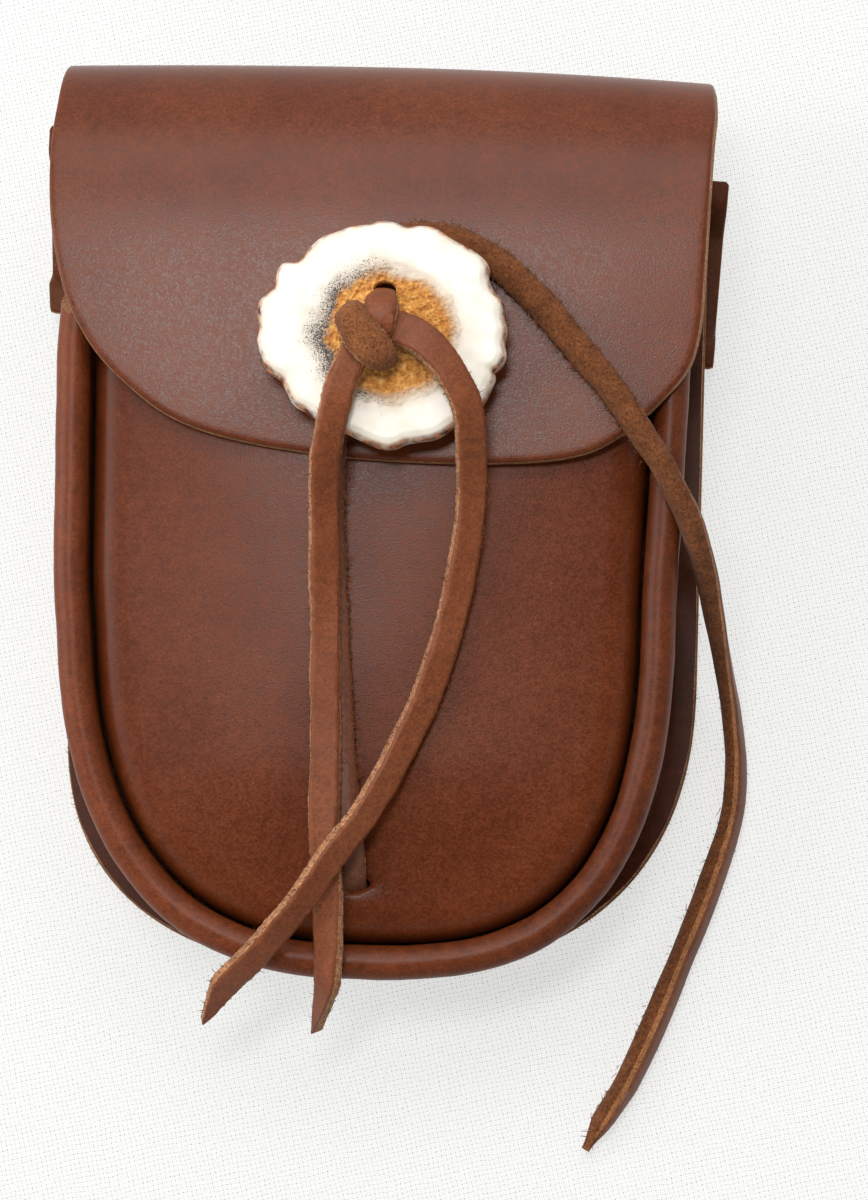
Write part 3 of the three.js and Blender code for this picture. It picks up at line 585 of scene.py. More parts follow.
def cloth_material():
    """A white plain weave, a little uneven, with small grey gaps between its threads."""
    paint = Paint("white_cloth", Specular_IOR_Level=0.1, Emission_Strength=CLOTH_GLOW)
    turned = paint.node("VectorRotate", {"rotation_type": "Z_AXIS"}, paint.place, Angle=WEAVE_TURN).outputs[0]
    warp = paint.times(paint.noise(0.12), 1.3)
    axes = paint.node("SeparateXYZ", (), turned).outputs[:2]
    turns = [paint.times(paint.plus(axis, warp), 2 * math.pi / WEAVE_PITCH) for axis in axes]
    gaps = [paint.between(paint.math("COSINE", turn), 0.25, 0.95) for turn in turns]
    over = paint.times(*(paint.math("SINE", paint.times(turn, 0.5)) for turn in turns))
    spans = ((-0.1, 0.9), (0.1, -0.9))
    dashes = [paint.times(gap, paint.between(over, *span)) for gap, span in zip(gaps, spans)]
    threads = [paint.between(paint.math("COSINE", paint.times(turn, 2.0)), 0.0, 0.95) for turn in turns]
    weave = paint.plus(paint.times(paint.times(*gaps), 0.6), paint.times(paint.plus(*dashes), 0.4))
    weave = paint.plus(weave, paint.times(paint.times(*threads), 0.7))
    gap = paint.times(weave, paint.between(paint.noise(1.1, 3.0, 0.7), 0.3, 0.66, 0.2, 0.9))
    glow = paint.mix(gap, (1.0, 1.0, 0.985), (0.3, 0.33, 0.32))
    paint.tree.links.new(glow, paint.shader.inputs["Emission Color"])
    tone = paint.mix(gap, CLOTH_WHITE, (0.1, 0.108, 0.104))
    return paint.finish(tone, paint.between(weave, 0.0, 1.4, 0.85, 0.95), weave, -0.02)


MATERIALS = {
    "grain": grain_leather("bag_grain", (0.107, 0.0228, 0.0056), 0.33, 0.014, specular=0.24),
    "panel": grain_leather("panel_grain", (0.104, 0.0222, 0.0055), 0.33, 0.013, specular=0.18),
    "thong": grain_leather("thong_grain", (0.14, 0.047, 0.023), 0.42, 0.014, mottled=1.2, specular=0.3),
    "ridge": raw_leather("thong_ridge", (0.15, 0.052, 0.017), (0.46, 0.2, 0.08)),
    # The rim leather is a little brighter and takes painted shade from the gusset's 'shade' attribute.
    "rim": grain_leather("rim_grain", (0.133, 0.0288, 0.0071), 0.4, 0.014, mottled=1.7, specular=0.19, shaded=True),
    "lace": grain_leather("lace_grain", (0.17, 0.0462, 0.015), 0.46, 0.014, mottled=1.2, specular=0.22),
    "raw": raw_leather("raw_edge", (0.12, 0.04, 0.015), (0.48, 0.24, 0.12)),
    "flap_edge": raw_leather("flap_edge", (0.09, 0.031, 0.012), (0.5, 0.235, 0.1)),
    "flesh": raw_leather("flesh_side", (0.13, 0.055, 0.022), (0.29, 0.14, 0.062)),
    "suede": raw_leather("lace_suede", (0.072, 0.022, 0.0072), (0.218, 0.076, 0.0265), 0.2, coarse=1.15),
    "wrap": raw_leather("lace_wrap", (0.075, 0.023, 0.0073), (0.275, 0.1, 0.036), 0.12),
    "loop": grain_leather("loop_grain", (0.09, 0.0235, 0.0068), 0.45, 0.012, specular=0.12),
    "antler": antler_bone(),
    "thread": thread_material(),
}


# Laces

def lace_frames(rows, step):
    """Places, directions to the side and up, and the length so far of a lace."""
    line = evenly(curve_through(rows), step)
    along = unit(np.gradient(line[:, :3], axis=0))
    level = unit(np.cross(along, [0.0, 0.0, 1.0]))
    face = np.cross(level, along)
    roll = np.radians(line[:, 3])[:, None]
    side = np.cos(roll) * level + np.sin(roll) * face
    up = np.cos(roll) * face - np.sin(roll) * level
    return line[:, :3], side, up, lengths_along(line)


# How strips are cut: corners from the grain to the flesh as (inset, share of the half thickness), the flat share of
# the width, and the kinds of the faces round the section.
CRISP = dict(
    corner=[(0.5, 0.98), (0.26, 0.88), (0.1, 0.66), (0, 0.34), (-0.06, 0), (-0.1, -0.36), (-0.04, -0.68), (0.14, -0.9)],
    flat=0.8,
    kinds=[0] * 11 + [1] * 6 + [2] * 6 + [1] * 6 + [0] * 3,
)
FUZZY = dict(
    corner=[(1.1, 0.96), (0.62, 0.84), (0.26, 0.62), (0.06, 0.33), (0, 0), (0.04, -0.34), (0.22, -0.64), (0.6, -0.86)],
    flat=0.5,
    kinds=[0] * 11 + [1] * 3 + [2] * 15 + [1] * 2 + [0],
)
FIRST_HAIR = 30


def strip(frames, left, right, thick, seed, cut=CRISP, cup=0.0, crown=0.0, flipped=None, wrinkles=(), hairs=0.0):
    """A flat strip of leather with a soft grain face, ragged cut edges and a flesh face.

    left and right are how far its edges lie to the two sides at each place. Kinds: 0 grain, 1 raw, 2 suede.
    """
    place, side, up, along = frames
    count = len(place)
    level = table(along, 0.0, 0.0)
    loose = np.clip((right - left) / 2 - 0.3, 0, 1)
    edges = {}
    for sign, at in ((-1, left), (1, right)):
        ragged = 0.1 * ripple(level, 0.9, seed + sign) + 0.2 * ripple(level, 6.0, seed - sign)
        edges[sign] = at + sign * ragged * loose
    middle, half = (edges[1] + edges[-1]) / 2, (edges[1] - edges[-1]) / 2
    thick = np.broadcast_to(np.asarray(thick, float), count)
    section = [(share, 0.0, 1.0) for share in np.linspace(cut["flat"], -cut["flat"], 9)]
    section += [(-1, *corner) for corner in cut["corner"]]
    section += [(share, 0.0, -1.0) for share in np.linspace(-cut["flat"], cut["flat"], 7)]
    section += [(1, *corner) for corner in cut["corner"][::-1]]
    swell = 0.1 * ripple(level, 9.0, seed + 5)
    rings = []
    for k, (share, inset, tall) in enumerate(section):
        wide = middle + share * half - np.sign(share) * inset * np.minimum(1, half / 0.9)
        if abs(tall) < 0.95:
            frayed = 0.2 * ripple(table(along, 0.7 * k, 0.0), 0.5, seed + 9)
            wide = wide + np.sign(share) * frayed * loose
        bow = share * share - 0.4
        rise = tall * (thick / 2 * (1 + swell) - crown * bow) - cup * bow
        if tall > 0.9:
            for centre, reach, depth in wrinkles:
                slant = along - centre + 0.7 * share
                rise = rise + depth * np.exp(-((slant / reach) ** 2)) * math.cos(1.2 * share)
        rings.append(place + side * wide[:, None] + up * rise[:, None])
    points = np.array(rings).transpose(1, 0, 2).reshape(-1, 3)
    lines = numbered(count, len(section))
    faces, kinds = [], []
    for i, (a, b) in enumerate(zip(lines, lines[1:])):
        faces += quads(a, b)
        kinds += [2 - kind for kind in cut["kinds"]] if flipped is not None and flipped[i] else cut["kinds"]
    for line in (lines[0][::-1], lines[-1]):
        points, cap = fan(points, line)
        faces += cap
        kinds += [1] * len(cap)
    bodies = [(points, faces, kinds)]
    chance = np.random.default_rng(int(seed * 10))
    for _ in range(int(hairs * along[-1])):
        i = int(chance.integers(FIRST_HAIR, count - 2))
        sign = int(chance.choice((-1, 1)))
        tall = chance.uniform(-0.9, 0.5)
        root = place[i] + side[i] * (edges[sign][i] - 0.1 * sign) + up[i] * tall * thick[i] / 2
        lean = side[i] * sign + up[i] * chance.normal(0, 0.5) + np.cross(side[i], up[i]) * chance.normal(0, 1.0)
        bodies.append(fibre(root, lean, chance.uniform(0.3, 1.3), chance.normal(0, 0.35, 3)))
    return joined(*bodies)


def fibre(root, lean, length, curl):
    """One loose leather fibre as a thin closed tube."""
    lean = unit(lean)
    side = unit(np.cross(lean, [0.3, 0.5, 0.81]))
    other = np.cross(lean, side)
    rings = []
    for share, thin in ((0.0, 0.09), (0.5, 0.075), (1.0, 0.03)):
        at = root + lean * length * share + curl * length * share**2
        rings.append(circle(at, thin, side, other, 3))
    return tube(rings, kind=2)


def running(along, total, start, end, length):
    """Places of an edge that leaves its line and runs to another over the last length of a lace."""
    return start + (end - start) * np.clip(1 - (total - along) / length, 0, 1)


def make_cord(
    name, rows, left, right, node, exit_at, seed, thick=LACE_THICK, wide_start=0.0,
    materials=("lace", "raw", "suede"), **shape,
):
    """A free lace, whose left and right edges are given as running() takes them."""
    frames = lace_frames(rows, LACE_STEP)
    along, total = frames[3], frames[3][-1]
    edges = [running(along, total, *edge) for edge in (left, right)]
    more = wide_start * (1 - smoothstep(along, 6.0, 14.0))
    edges = [edges[0] - more, edges[1] + more]
    points, faces, kinds = strip(frames, *edges, thick, seed, **shape)
    points[:, 2] = points[:, 2].clip(CLOTH_CLEAR)
    piece = make_piece(name, points, faces, kinds, materials, sharp=60)
    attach(piece, "root")
    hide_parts(node)


# Where the thong turns its suede side up behind the button, and how far laces stay above the cloth.
THONG_TURN, CLOTH_CLEAR = np.array([-5.2, 34.6, 45.2]), 0.05


def make_laces():
    half = LACE_WIDTH / 2
    make_cord(
        "left_tail", LEFT_START + LEFT_ROUTE + LEFT_TIP, (-half, 1.9, 14.0), (half, 2.3, 4.0), "lace_tail_left",
        (-3.0, 22.0, 54.9), 3.1, hairs=1.6,
    )
    make_cord(
        "right_tail", RIGHT_START + RIGHT_ROUTE, (-half, -2.1, 3.0), (half, -1.7, 9.5), "lace_tail_right",
        (8.2, 26.4, 55.3), 7.7, wide_start=0.35, hairs=1.6,
        wrinkles=((25.0, 0.5, -0.16), (27.6, 0.6, -0.2), (30.5, 0.5, -0.18), (34.0, 0.7, -0.12), (37.5, 0.6, -0.1)),
    )
    frames = lace_frames(THONG_ROUTE, LACE_STEP)
    turn_over = int(np.argmin(np.linalg.norm(frames[0] - THONG_TURN, axis=1)))
    along = frames[3]
    thick = 2.6 + 1.0 * np.exp(-(((along - 207.0) / 26.0) ** 2)) + 1.2 * smoothstep(along, 235.0, 285.0)
    thick *= 1 - 0.62 * smoothstep(along, along[-1] - 7.0, along[-1])
    make_cord(
        "thong", THONG_ROUTE, (-half, 0.9, 14.0), (half, 1.2, 6.0), "closing_thong", (-1.3, -66.0, 31.0), 12.9,
        thick=thick, flipped=np.arange(len(along)) < turn_over, hairs=3.4, crown=0.4, cut=FUZZY,
        materials=("thong", "ridge", "suede"),
    )


# Bag pieces

def sheet_profile():
    """The middle of the back, fold and flap as rows of length so far, y, z, bend and share of the flap."""
    back_y = np.arange(BACK[1]["end"] - BACK_PROUD, FOLD_LOW_Y, 0.5)
    turn = np.linspace(0, math.pi / 2, 40)
    fold_y = FOLD_LOW_Y + (FOLD_Y - FOLD_LOW_Y) * np.sin(turn)
    fold_z = FOLD_Z - (FOLD_Z - LEATHER / 2) * np.cos(turn)
    over = np.linspace(0, math.pi / 2, 160)[1:]
    over_y = FLAP_FLAT_Y + (FOLD_Y - FLAP_FLAT_Y) * np.cos(over).clip(0) ** (2 / FLAP_POWER)
    over_z = FOLD_Z + (FLAP_MIDDLE_Z - FOLD_Z) * np.sin(over)
    bend = np.clip((over_y - FOLD_HIGH_Y) / (FOLD_Y - FOLD_HIGH_Y), 0, 1)
    flap_y = np.arange(FLAP_FLAT_Y - 0.5, FLAP_END_Y - 3, -0.5)
    rows = np.vstack([
        table(back_y, LEATHER / 2, 0.0, 0.0),
        table(fold_y, fold_z, np.sin(turn), 0.5 * turn / turn[-1]),
        table(over_y, over_z, bend, 0.5 + 0.5 * np.sin(over)),
        table(flap_y, FLAP_MIDDLE_Z, 0.0, 1.0),
    ])
    rows[:, 1] += lift(rows[:, 0])
    return table(lengths_along(rows[:, :2]), *rows.T)


def sheet_outline(profile):
    """The cut leather of back and flap laid flat, anticlockwise from the middle of the bottom."""
    fold = int(np.argmax(profile[:, 1]))
    low_side, high_side = profile[:fold], profile[fold:][::-1]
    edge = curve_through(table(*np.transpose(FLAP_EDGE), 0.0), 10)[:, :2]
    edge = np.column_stack([edge[:, 0], np.interp(edge[:, 1], high_side[:, 1], high_side[:, 0])])
    halves = {}
    for sign, join in ((1, edge[0]), (-1, edge[-1])):
        side = dict(BACK[sign])
        side["half"] += BACK_PROUD
        side["end"] -= BACK_PROUD
        x, y = round_end(side, 60)
        low = np.column_stack([x[::-1], np.interp(y[::-1], low_side[:, 1], low_side[:, 0])])
        along = np.arange(low[-1, 1] + 1, join[1] - 0.5, 1.0)
        y, share = (np.interp(along, profile[:, 0], profile[:, k]) for k in (1, 4))
        share = smoothstep(share, 0.0, 0.55)
        wide = half_width(side, y) * (1 - share) + abs(join[0]) * share
        halves[sign] = np.vstack([low, np.column_stack([wide, along])]) * [sign, 1]
    loop = np.vstack([halves[1], edge, halves[-1][::-1][:-1]])
    loop = evenly(np.vstack([loop, loop[:1]]), 1.0)[:-1]
    for _ in range(2):
        loop = (np.roll(loop, 1, axis=0) + 2 * loop + np.roll(loop, -1, axis=0)) / 4
    return loop


def make_back_and_flap():
    profile = sheet_profile()
    edge_rows = [
        (1.6, 1.0, 0), (0.95, 0.985, 0), (0.55, 0.93, 0), (0.34, 0.8, 0), (0.23, 0.6, 0), (0.18, 0.42, 1),
        (0.12, 0.05, 1), (0.05, -0.35, 1), (0.0, -0.66, 1), (0.05, -0.86, 1), (0.25, -0.97, 2), (0.8, -1.0, 2),
        (1.6, -1.0, 2),
    ]
    flat, faces, kinds = slab(sheet_outline(profile), edge_rows, 1.7)
    u, s, h = flat.T
    y, z, bend = (np.interp(s, profile[:, 0], profile[:, k]) for k in (1, 2, 3))
    slope = np.gradient(profile[:, 1:3], profile[:, 0], axis=0)
    dy, dz = (np.interp(s, profile[:, 0], slope[:, k]) for k in (0, 1))
    size = np.hypot(dy, dz)
    half, most = (np.where(u < 0, sides[-1], sides[1]) for sides in (FOLD_HALF, FOLD_DROOP))
    droop = bend * (u / half) ** 2 * most
    wave = 0.5 + 0.5 * ripple(table(u, s, 0.0), 26.0, 4.0)
    on_flap = smoothstep(s, 190.0, 225.0)
    out = h * LEATHER / 2 + 0.4 * wave * on_flap
    lean = 0.45 * smoothstep(u, 51.0, 57.0) * smoothstep(s, 155.0, 168.0) * (0.5 - 0.5 * h)
    points = np.column_stack([u + lean, y - droop + out * dz / size, z - out * dy / size])
    piece = make_piece(
        "leather_back_and_flap", points, faces, kinds, ("grain", "flap_edge", "flesh")
    )
    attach(piece, "root")
    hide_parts("back_and_flap")


def gusset_section():
    """The section from flange to seam: blend from the back's to the rim's outline, outer and inner face."""
    foot, thick = LEATHER + SHEET_GAP, GUSSET_LEATHER
    wall = [
        [0.0, FLANGE - 1.2, foot + thick, FLANGE + thick - 0.6, foot],
        [0.1, 0.9 * FLANGE + 0.2, foot + thick + 2, 0.9 * FLANGE + thick, foot + 2.6],
        [0.55, 0.45 * FLANGE + 0.6, 15.0, 0.45 * FLANGE + 0.6 + thick, 15.0],
        [1.0, RIM_NECK, 25.5, RIM_NECK + thick, 25.5],
    ]
    centre, core = RIM_TOP - RIM_RADIUS, RIM_RADIUS - thick
    roll = []
    for turn in np.radians(ROLL_DEGREES):
        outer, inner = ((RIM_RADIUS - r * math.cos(turn), centre + r * math.sin(turn)) for r in (RIM_RADIUS, core))
        roll.append([1.0, *outer, *inner])
    seam = centre - SEAM_DEPTH
    end = [[1.0, 2 * RIM_RADIUS, seam, 2 * RIM_RADIUS - thick, seam]]
    flange = [[0.0, k, foot + thick, k * 1.4 - 0.4, foot] for k in np.linspace(0.4, FLANGE - 1.2, 5)[:-1]]
    tall = np.array(wall + roll[:1])
    soft = curve_through(table(tall[:, 1], tall[:, 2], 0.0, *tall.T), 6)[:, 3:]
    return np.vstack([flange, soft, roll[1:], end])


def fuzz(places, outs, count, seed):
    """Loose fibres along a cut edge."""
    chance = np.random.default_rng(seed)
    found = []
    for _ in range(count):
        i, share = int(chance.integers(len(places) - 1)), chance.uniform()
        root = places[i] * (1 - share) + places[i + 1] * share + [0, 0, chance.uniform(-1.6, -0.2)]
        lean = np.append(outs[i], 0.0) + chance.normal(0, 0.7, 3)
        found.append(fibre(root, lean, chance.uniform(0.25, 1.0), chance.normal(0, 0.3, 3)))
    return found


def gusset_shade(points, outer, section):
    """Painted shade in the gusset's colour: darker at the foot, in the crease and on the right, where less light falls.
    """
    shade = np.ones(len(points), np.float32)
    straight = np.full(len(section) - len(ROLL_DEGREES), ROLL_DEGREES[0])
    turned = np.concatenate([straight, ROLL_DEGREES[1:], [200.0]])
    # Painted shade: darker where the roll turns down into the crease.
    crease = 1 - 0.28 * smoothstep(turned, 90.0, 150.0)
    outside = points[: outer[..., 0].size]
    # Painted shade: darker towards the foot, under the roll.
    height = outside[:, 2] - lift(outside[:, 1])
    # Painted shade: darker towards the right side, away from the light.
    right_side_shade = 1 - 0.45 * smoothstep(outside[:, 0], -30.0, 45.0)
    shade[: len(outside)] = smoothstep(height, 5.0, 28.0) * np.tile(crease, len(outer)) * right_side_shade
    return shade


def make_gusset():
    section = gusset_section()
    around = stations(26, 72)
    faces_of = []
    for inset_at, height_at in ((1, 2), (3, 4)):
        grid = []
        for row in section:
            share, inset, height = row[0], row[inset_at], row[height_at]
            top_y = MOUTH_Y + EAR * (1 - height / RIM_TOP)
            back, back_out = outline_at(BACK, around, top_y)
            rim, rim_out = outline_at(RIM, around, top_y)
            out = unit(back_out * (1 - share) + rim_out * share)
            at = back * (1 - share) + rim * share - out * inset
            grid.append(table(*at.T, height + lift(at[:, 1]), *out.T))
        faces_of.append(np.array(grid).transpose(1, 0, 2))
    outer, inner = faces_of
    flat = outer[..., :3].reshape(-1, 3)
    swell = (0.16 * ripple(flat, 9.0, 1.0) + 0.05 * ripple(flat, 2.4, 2.0)).reshape(outer.shape[:2])
    outer[..., :2] += swell[..., None] * outer[..., 3:]
    sheet = shell(outer[..., :3], inner[..., :3])
    points, faces, kinds = joined(sheet, *fuzz(outer[:, 0, :3], outer[:, 0, 3:], 420, 61))
    piece = make_piece("leather_gusset", points, faces, kinds, ("rim", "raw", "flesh"), sharp=48)
    # The 'shade' attribute carries painted shade into the rim leather's colour.
    shade = gusset_shade(points, outer, section)
    piece.data.attributes.new("shade", "FLOAT", "POINT").data.foreach_set("value", shade)
    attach(piece, "root")
    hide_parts("gusset")


def panel_rise(x, y):
    up = (y - BOTTOM_Y) / (PANEL_TOP_Y - BOTTOM_Y)
    return PANEL_DOME * smoothstep(up, 0, 0.35) * np.maximum(0, 1 - (x / PANEL_HALF) ** 2)


def make_front_panel():
    around = stations(34, 76)
    insets = np.array([0, 0.06, 0.15, 0.3, 0.5, 0.8, 1.2, 1.7, 2.5, 3.5, 4.7, 6.0])
    drops = 3.0 * np.exp(-insets / 0.85) + 1.2 * np.exp(-insets / 3.0) - 0.16
    drops[0] = 4.2
    under_insets = np.interp(insets, [0, 0.3, 1.2, 3.2, 6], [2.0, 2.2, 2.7, 3.8, 6.0])
    under_drops = np.interp(insets, [0, 0.3, 1.2, 3.2, 6], [4.2, 3.4, 2.8, 2.4, LEATHER])
    scales = np.linspace(1, 0.012, 62)[1:]
    grids = []
    for inset_list, drop_list, final in ((insets, drops, 0.0), (under_insets, under_drops, LEATHER)):
        rim, out = outline_at(RIM, around, PANEL_TOP_Y)
        rings = []
        for inset, drop in zip(inset_list, drop_list):
            rings.append(table(*(rim - out * (2 * RIM_RADIUS + CREVICE + inset)).T, drop))
        for scale in scales:
            ring = rings[len(insets) - 1].copy()
            ring[:, :2] = (ring[:, :2] - [0, PANEL_TOP_Y]) * scale + [0, PANEL_TOP_Y]
            ring[:, 2] = final
            rings.append(ring)
        grid = np.array(rings)
        x, y, drop = grid[..., 0], grid[..., 1], grid[..., 2]
        dent = 1.1 * np.exp(-(((x - SLIT[0]) / 3.4) ** 2) - ((y - SLIT[1] - 0.6) / 1.9) ** 2)
        dent -= 0.35 * np.exp(-(((x - SLIT[0]) / 3.6) ** 2) - ((y - SLIT[1] + 2.6) / 1.4) ** 2)
        wave = 0.25 * ripple(table(x.ravel(), y.ravel(), 0.0), 24.0, 8.0).reshape(x.shape)
        wave *= smoothstep(drop.max() - drop, 0.0, 4.0)
        z = PANEL_Z + panel_rise(x, y) - drop + lift(y) - dent + wave * (drop < 2.3) * 0.6
        grids.append(np.stack([x, y, z], axis=-1))
    points, faces, kinds = shell(grids[0], grids[1])
    piece = make_piece("leather_front", points, faces, kinds, ("panel", "raw", "flesh"), sharp=50)
    cut_through(piece, "raw", oval_prism(SLIT, SLIT_HALF, 22.0, 40.0))
    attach(piece, "root")
    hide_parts("front_panel")


def oval_prism(centre, half, low, high):
    """An upright prism with an oval foot."""
    axes = np.diag([*half, 0.0])
    return tube([circle(np.array([*centre, z]), 1.0, axes[0], axes[1], 28) for z in (low, high)])


def cut_through(piece, material, *prisms):
    """Cuts prisms out of a piece, with a material for the cut."""
    for prism in prisms:
        cutter = make_piece("cutter", *prism, [material])
        cut = piece.modifiers.new("cut", "BOOLEAN")
        cut.operation = "DIFFERENCE"
        cut.solver = "EXACT"
        cut.object = cutter
        bpy.context.view_layer.update()
        depsgraph = bpy.context.evaluated_depsgraph_get()
        mesh = bpy.data.meshes.new_from_object(piece.evaluated_get(depsgraph), depsgraph=depsgraph)
        piece.modifiers.clear()
        old = piece.data
        piece.data = mesh
        mesh.name = old.name
        bpy.data.meshes.remove(old)
        bpy.data.objects.remove(cutter)


LOOP_SECTION = np.array([
    [-1, 1], [-0.74, 1], [-0.68, 0.86], [-0.6, 0.42], [-0.53, 0.1], [-0.47, 0], [0, 0],
    [0.47, 0], [0.53, 0.1], [0.6, 0.42], [0.68, 0.86], [0.74, 1], [1, 1],
], float)


def loop_place(x, across, height):
    """A point of the belt loop: along it, across it from -1 to 1, and above its middle."""
    y = across * LOOP_HEIGHT / 2
    turned_x = x * math.cos(LOOP_TURN) - y * math.sin(LOOP_TURN)
    turned_y = LOOP_Y + x * math.sin(LOOP_TURN) + y * math.cos(LOOP_TURN)
    share = np.interp(across, LOOP_SECTION[:, 0], LOOP_SECTION[:, 1])
    share = smoothstep(share, 0, 1) * 0.5 + share * 0.5
    high = lift(turned_y) - SHEET_GAP - LEATHER / 2
    z = LEATHER / 2 + (high - LEATHER / 2) * share
    return np.column_stack([turned_x, turned_y, z + height])


# How much further the left end of the loop reaches, from its lower to its upper edge.
LOOP_LEFT_END = ((-1, -0.5, 0, 0.5, 1), (0.6, 1.8, 2.9, 3.7, 4.1))


def make_belt_loop():
    half_x, half_y, corner = LOOP_LENGTH / 2, LOOP_HEIGHT / 2, 0.6
    arcs = []
    for sx, sy, start in ((1, 1, 0), (-1, 1, 90), (-1, -1, 180), (1, -1, 270)):
        turn = np.radians(np.linspace(start, start + 90, 8))
        arcs.append(np.column_stack([
            sx * (half_x - corner) + corner * np.cos(turn), sy * (half_y - corner) + corner * np.sin(turn),
        ]))
    loop = np.vstack(arcs)
    loop = evenly(np.vstack([loop, loop[:1]]), 0.9)[:-1]
    edge_rows = [
        (0.5, 1.0, 0), (0.34, 0.97, 0), (0.18, 0.86, 0), (0.07, 0.64, 0), (0.02, 0.3, 1), (0, 0, 1),
        (0.02, -0.3, 1), (0.07, -0.64, 0), (0.18, -0.86, 0), (0.34, -0.97, 2), (0.5, -1.0, 2),
    ]
    flat, faces, kinds = slab(loop, edge_rows, 1.3)
    kinds = [0 if k == 2 else k for k in kinds]
    across, near_end = flat[:, 1] / half_y, smoothstep(abs(flat[:, 0]), 40.0, half_x)
    longer = np.where(flat[:, 0] < 0, -np.interp(across, *LOOP_LEFT_END), 0.45)
    points = loop_place(flat[:, 0] + longer * near_end, across, flat[:, 2] * LEATHER / 2)
    piece = make_piece("leather_belt_loop", points, faces, kinds, ("loop", "flap_edge"))
    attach(piece, "root")
    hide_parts("belt_loop")


def make_button():
    count, parts = 440, 12
    edge = (np.array(BUTTON_EDGE) - [BUTTON_X, BUTTON_Y]) * 0.98 + [BUTTON_X + 0.2, BUTTON_Y - 0.2]
    loop = np.vstack([edge[-2:], edge, edge[:3]])
    dense = curve_through(table(*loop.T, 0.0), parts)[2 * parts : -2 * parts, :2]
    angle = np.unwrap(np.arctan2(dense[:, 1] - BUTTON_Y, dense[:, 0] - BUTTON_X))
    radius = np.hypot(dense[:, 0] - BUTTON_X, dense[:, 1] - BUTTON_Y)
    turn = np.linspace(angle[0], angle[0] + 2 * math.pi, count, endpoint=False)
    reach = np.interp(np.mod(turn - angle[0], 2 * math.pi), angle - angle[0], radius)
    wide = 26
    kernel = np.ones(wide) / wide
    usual = np.convolve(np.concatenate([reach[-wide:], reach, reach[:wide]]), kernel, "same")[wide:-wide]
    knob = reach - usual
    shares = np.concatenate([np.linspace(0.0, 0.84, 74), np.linspace(0.85, 1.0, 22)])
    top = np.interp(shares, [0, 0.42, 0.66, 0.93, 0.98, 1.0], [0.93, 0.96, 1.0, 0.99, 0.93, 0.8])
    top = np.convolve(np.pad(top, 1, mode="edge"), np.ones(3) / 3, "valid")
    under = np.interp(shares, [0, 0.66, 0.84, 0.95, 1.0], [0, 0, 0.02, 0.1, 0.26])
    across, down = np.cos(turn), np.sin(turn)
    x = BUTTON_X + np.outer(reach * across, shares)
    y = BUTTON_Y + np.outer(reach * down, shares)
    flat = table(x.ravel(), y.ravel(), 0.0)
    out = np.hypot((x - CORE[0]) / CORE_HALF[0], (y - CORE[1]) / CORE_HALF[1])
    core = 1 - smoothstep(out, 0.86, 1.12)
    rough = ripple(flat, 1.3, 3.0).reshape(x.shape)
    swell = ripple(flat, 6.0, 5.0).reshape(x.shape)
    z_top = BUTTON_UNDER + BUTTON_THICK * top[None, :] + lift(y)
    z_top = z_top + 0.04 * swell - core * (0.3 + 0.16 * rough)
    z_top = z_top + np.outer(knob, smoothstep(shares, 0.84, 0.98)) * 0.14
    pits = np.random.default_rng(11)
    for _ in range(150):
        at = pits.normal(0, 0.5, 2) * CORE_HALF + [3.6, 27.6]
        size = pits.uniform(0.16, 0.5)
        gap = np.hypot(x - at[0], y - at[1])
        z_top = z_top - 0.7 * size * np.exp(-((gap / size) ** 2)) * (core > 0.4)
    z_under = BUTTON_UNDER + BUTTON_THICK * under[None, :] + lift(y)
    grids = [np.stack([x, y, z], axis=-1) for z in (z_top, z_under)]
    points, faces, _ = shell(grids[0][:, 1:], grids[1][:, 1:], edge_points=5, bulge=0.35, ring=True)
    columns = len(shares) - 1
    top_ring = [i * columns for i in range(count)]
    for line in (top_ring[::-1], [count * columns + i for i in top_ring]):
        points, cap = fan(points, line)
        faces += cap
    piece = make_piece("antler_slice", points, faces, [0] * len(faces), ["antler"])
    share = np.ones(len(points), np.float32)
    share[: 2 * count * columns] = np.tile(shares[1:], 2 * count)
    share[-2:] = 0
    piece.data.attributes.new("reach", "FLOAT", "POINT").data.foreach_set("value", share)
    holes = [((2.0, 35.1), (2.0, 1.6)), ((1.8, 30.2), (2.6, 1.5))]
    cut_through(piece, "antler", *(oval_prism(*hole, 35.0, 60.0) for hole in holes))
    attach(piece, "root")
    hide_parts("antler_button")


def cross_frames(rows, side, step=0.3):
    """Frames of a short lace, as rows of x, y and z, that keeps one sideways direction."""
    place, _, _, along = lace_frames(table(*np.transpose(rows), 0.0), step)
    ahead = unit(np.gradient(place, axis=0))
    side = np.tile(unit(np.asarray(side, float)), (len(place), 1))
    side = unit(side - ahead * np.sum(side * ahead, axis=1, keepdims=True))
    return place, side, np.cross(side, ahead), along


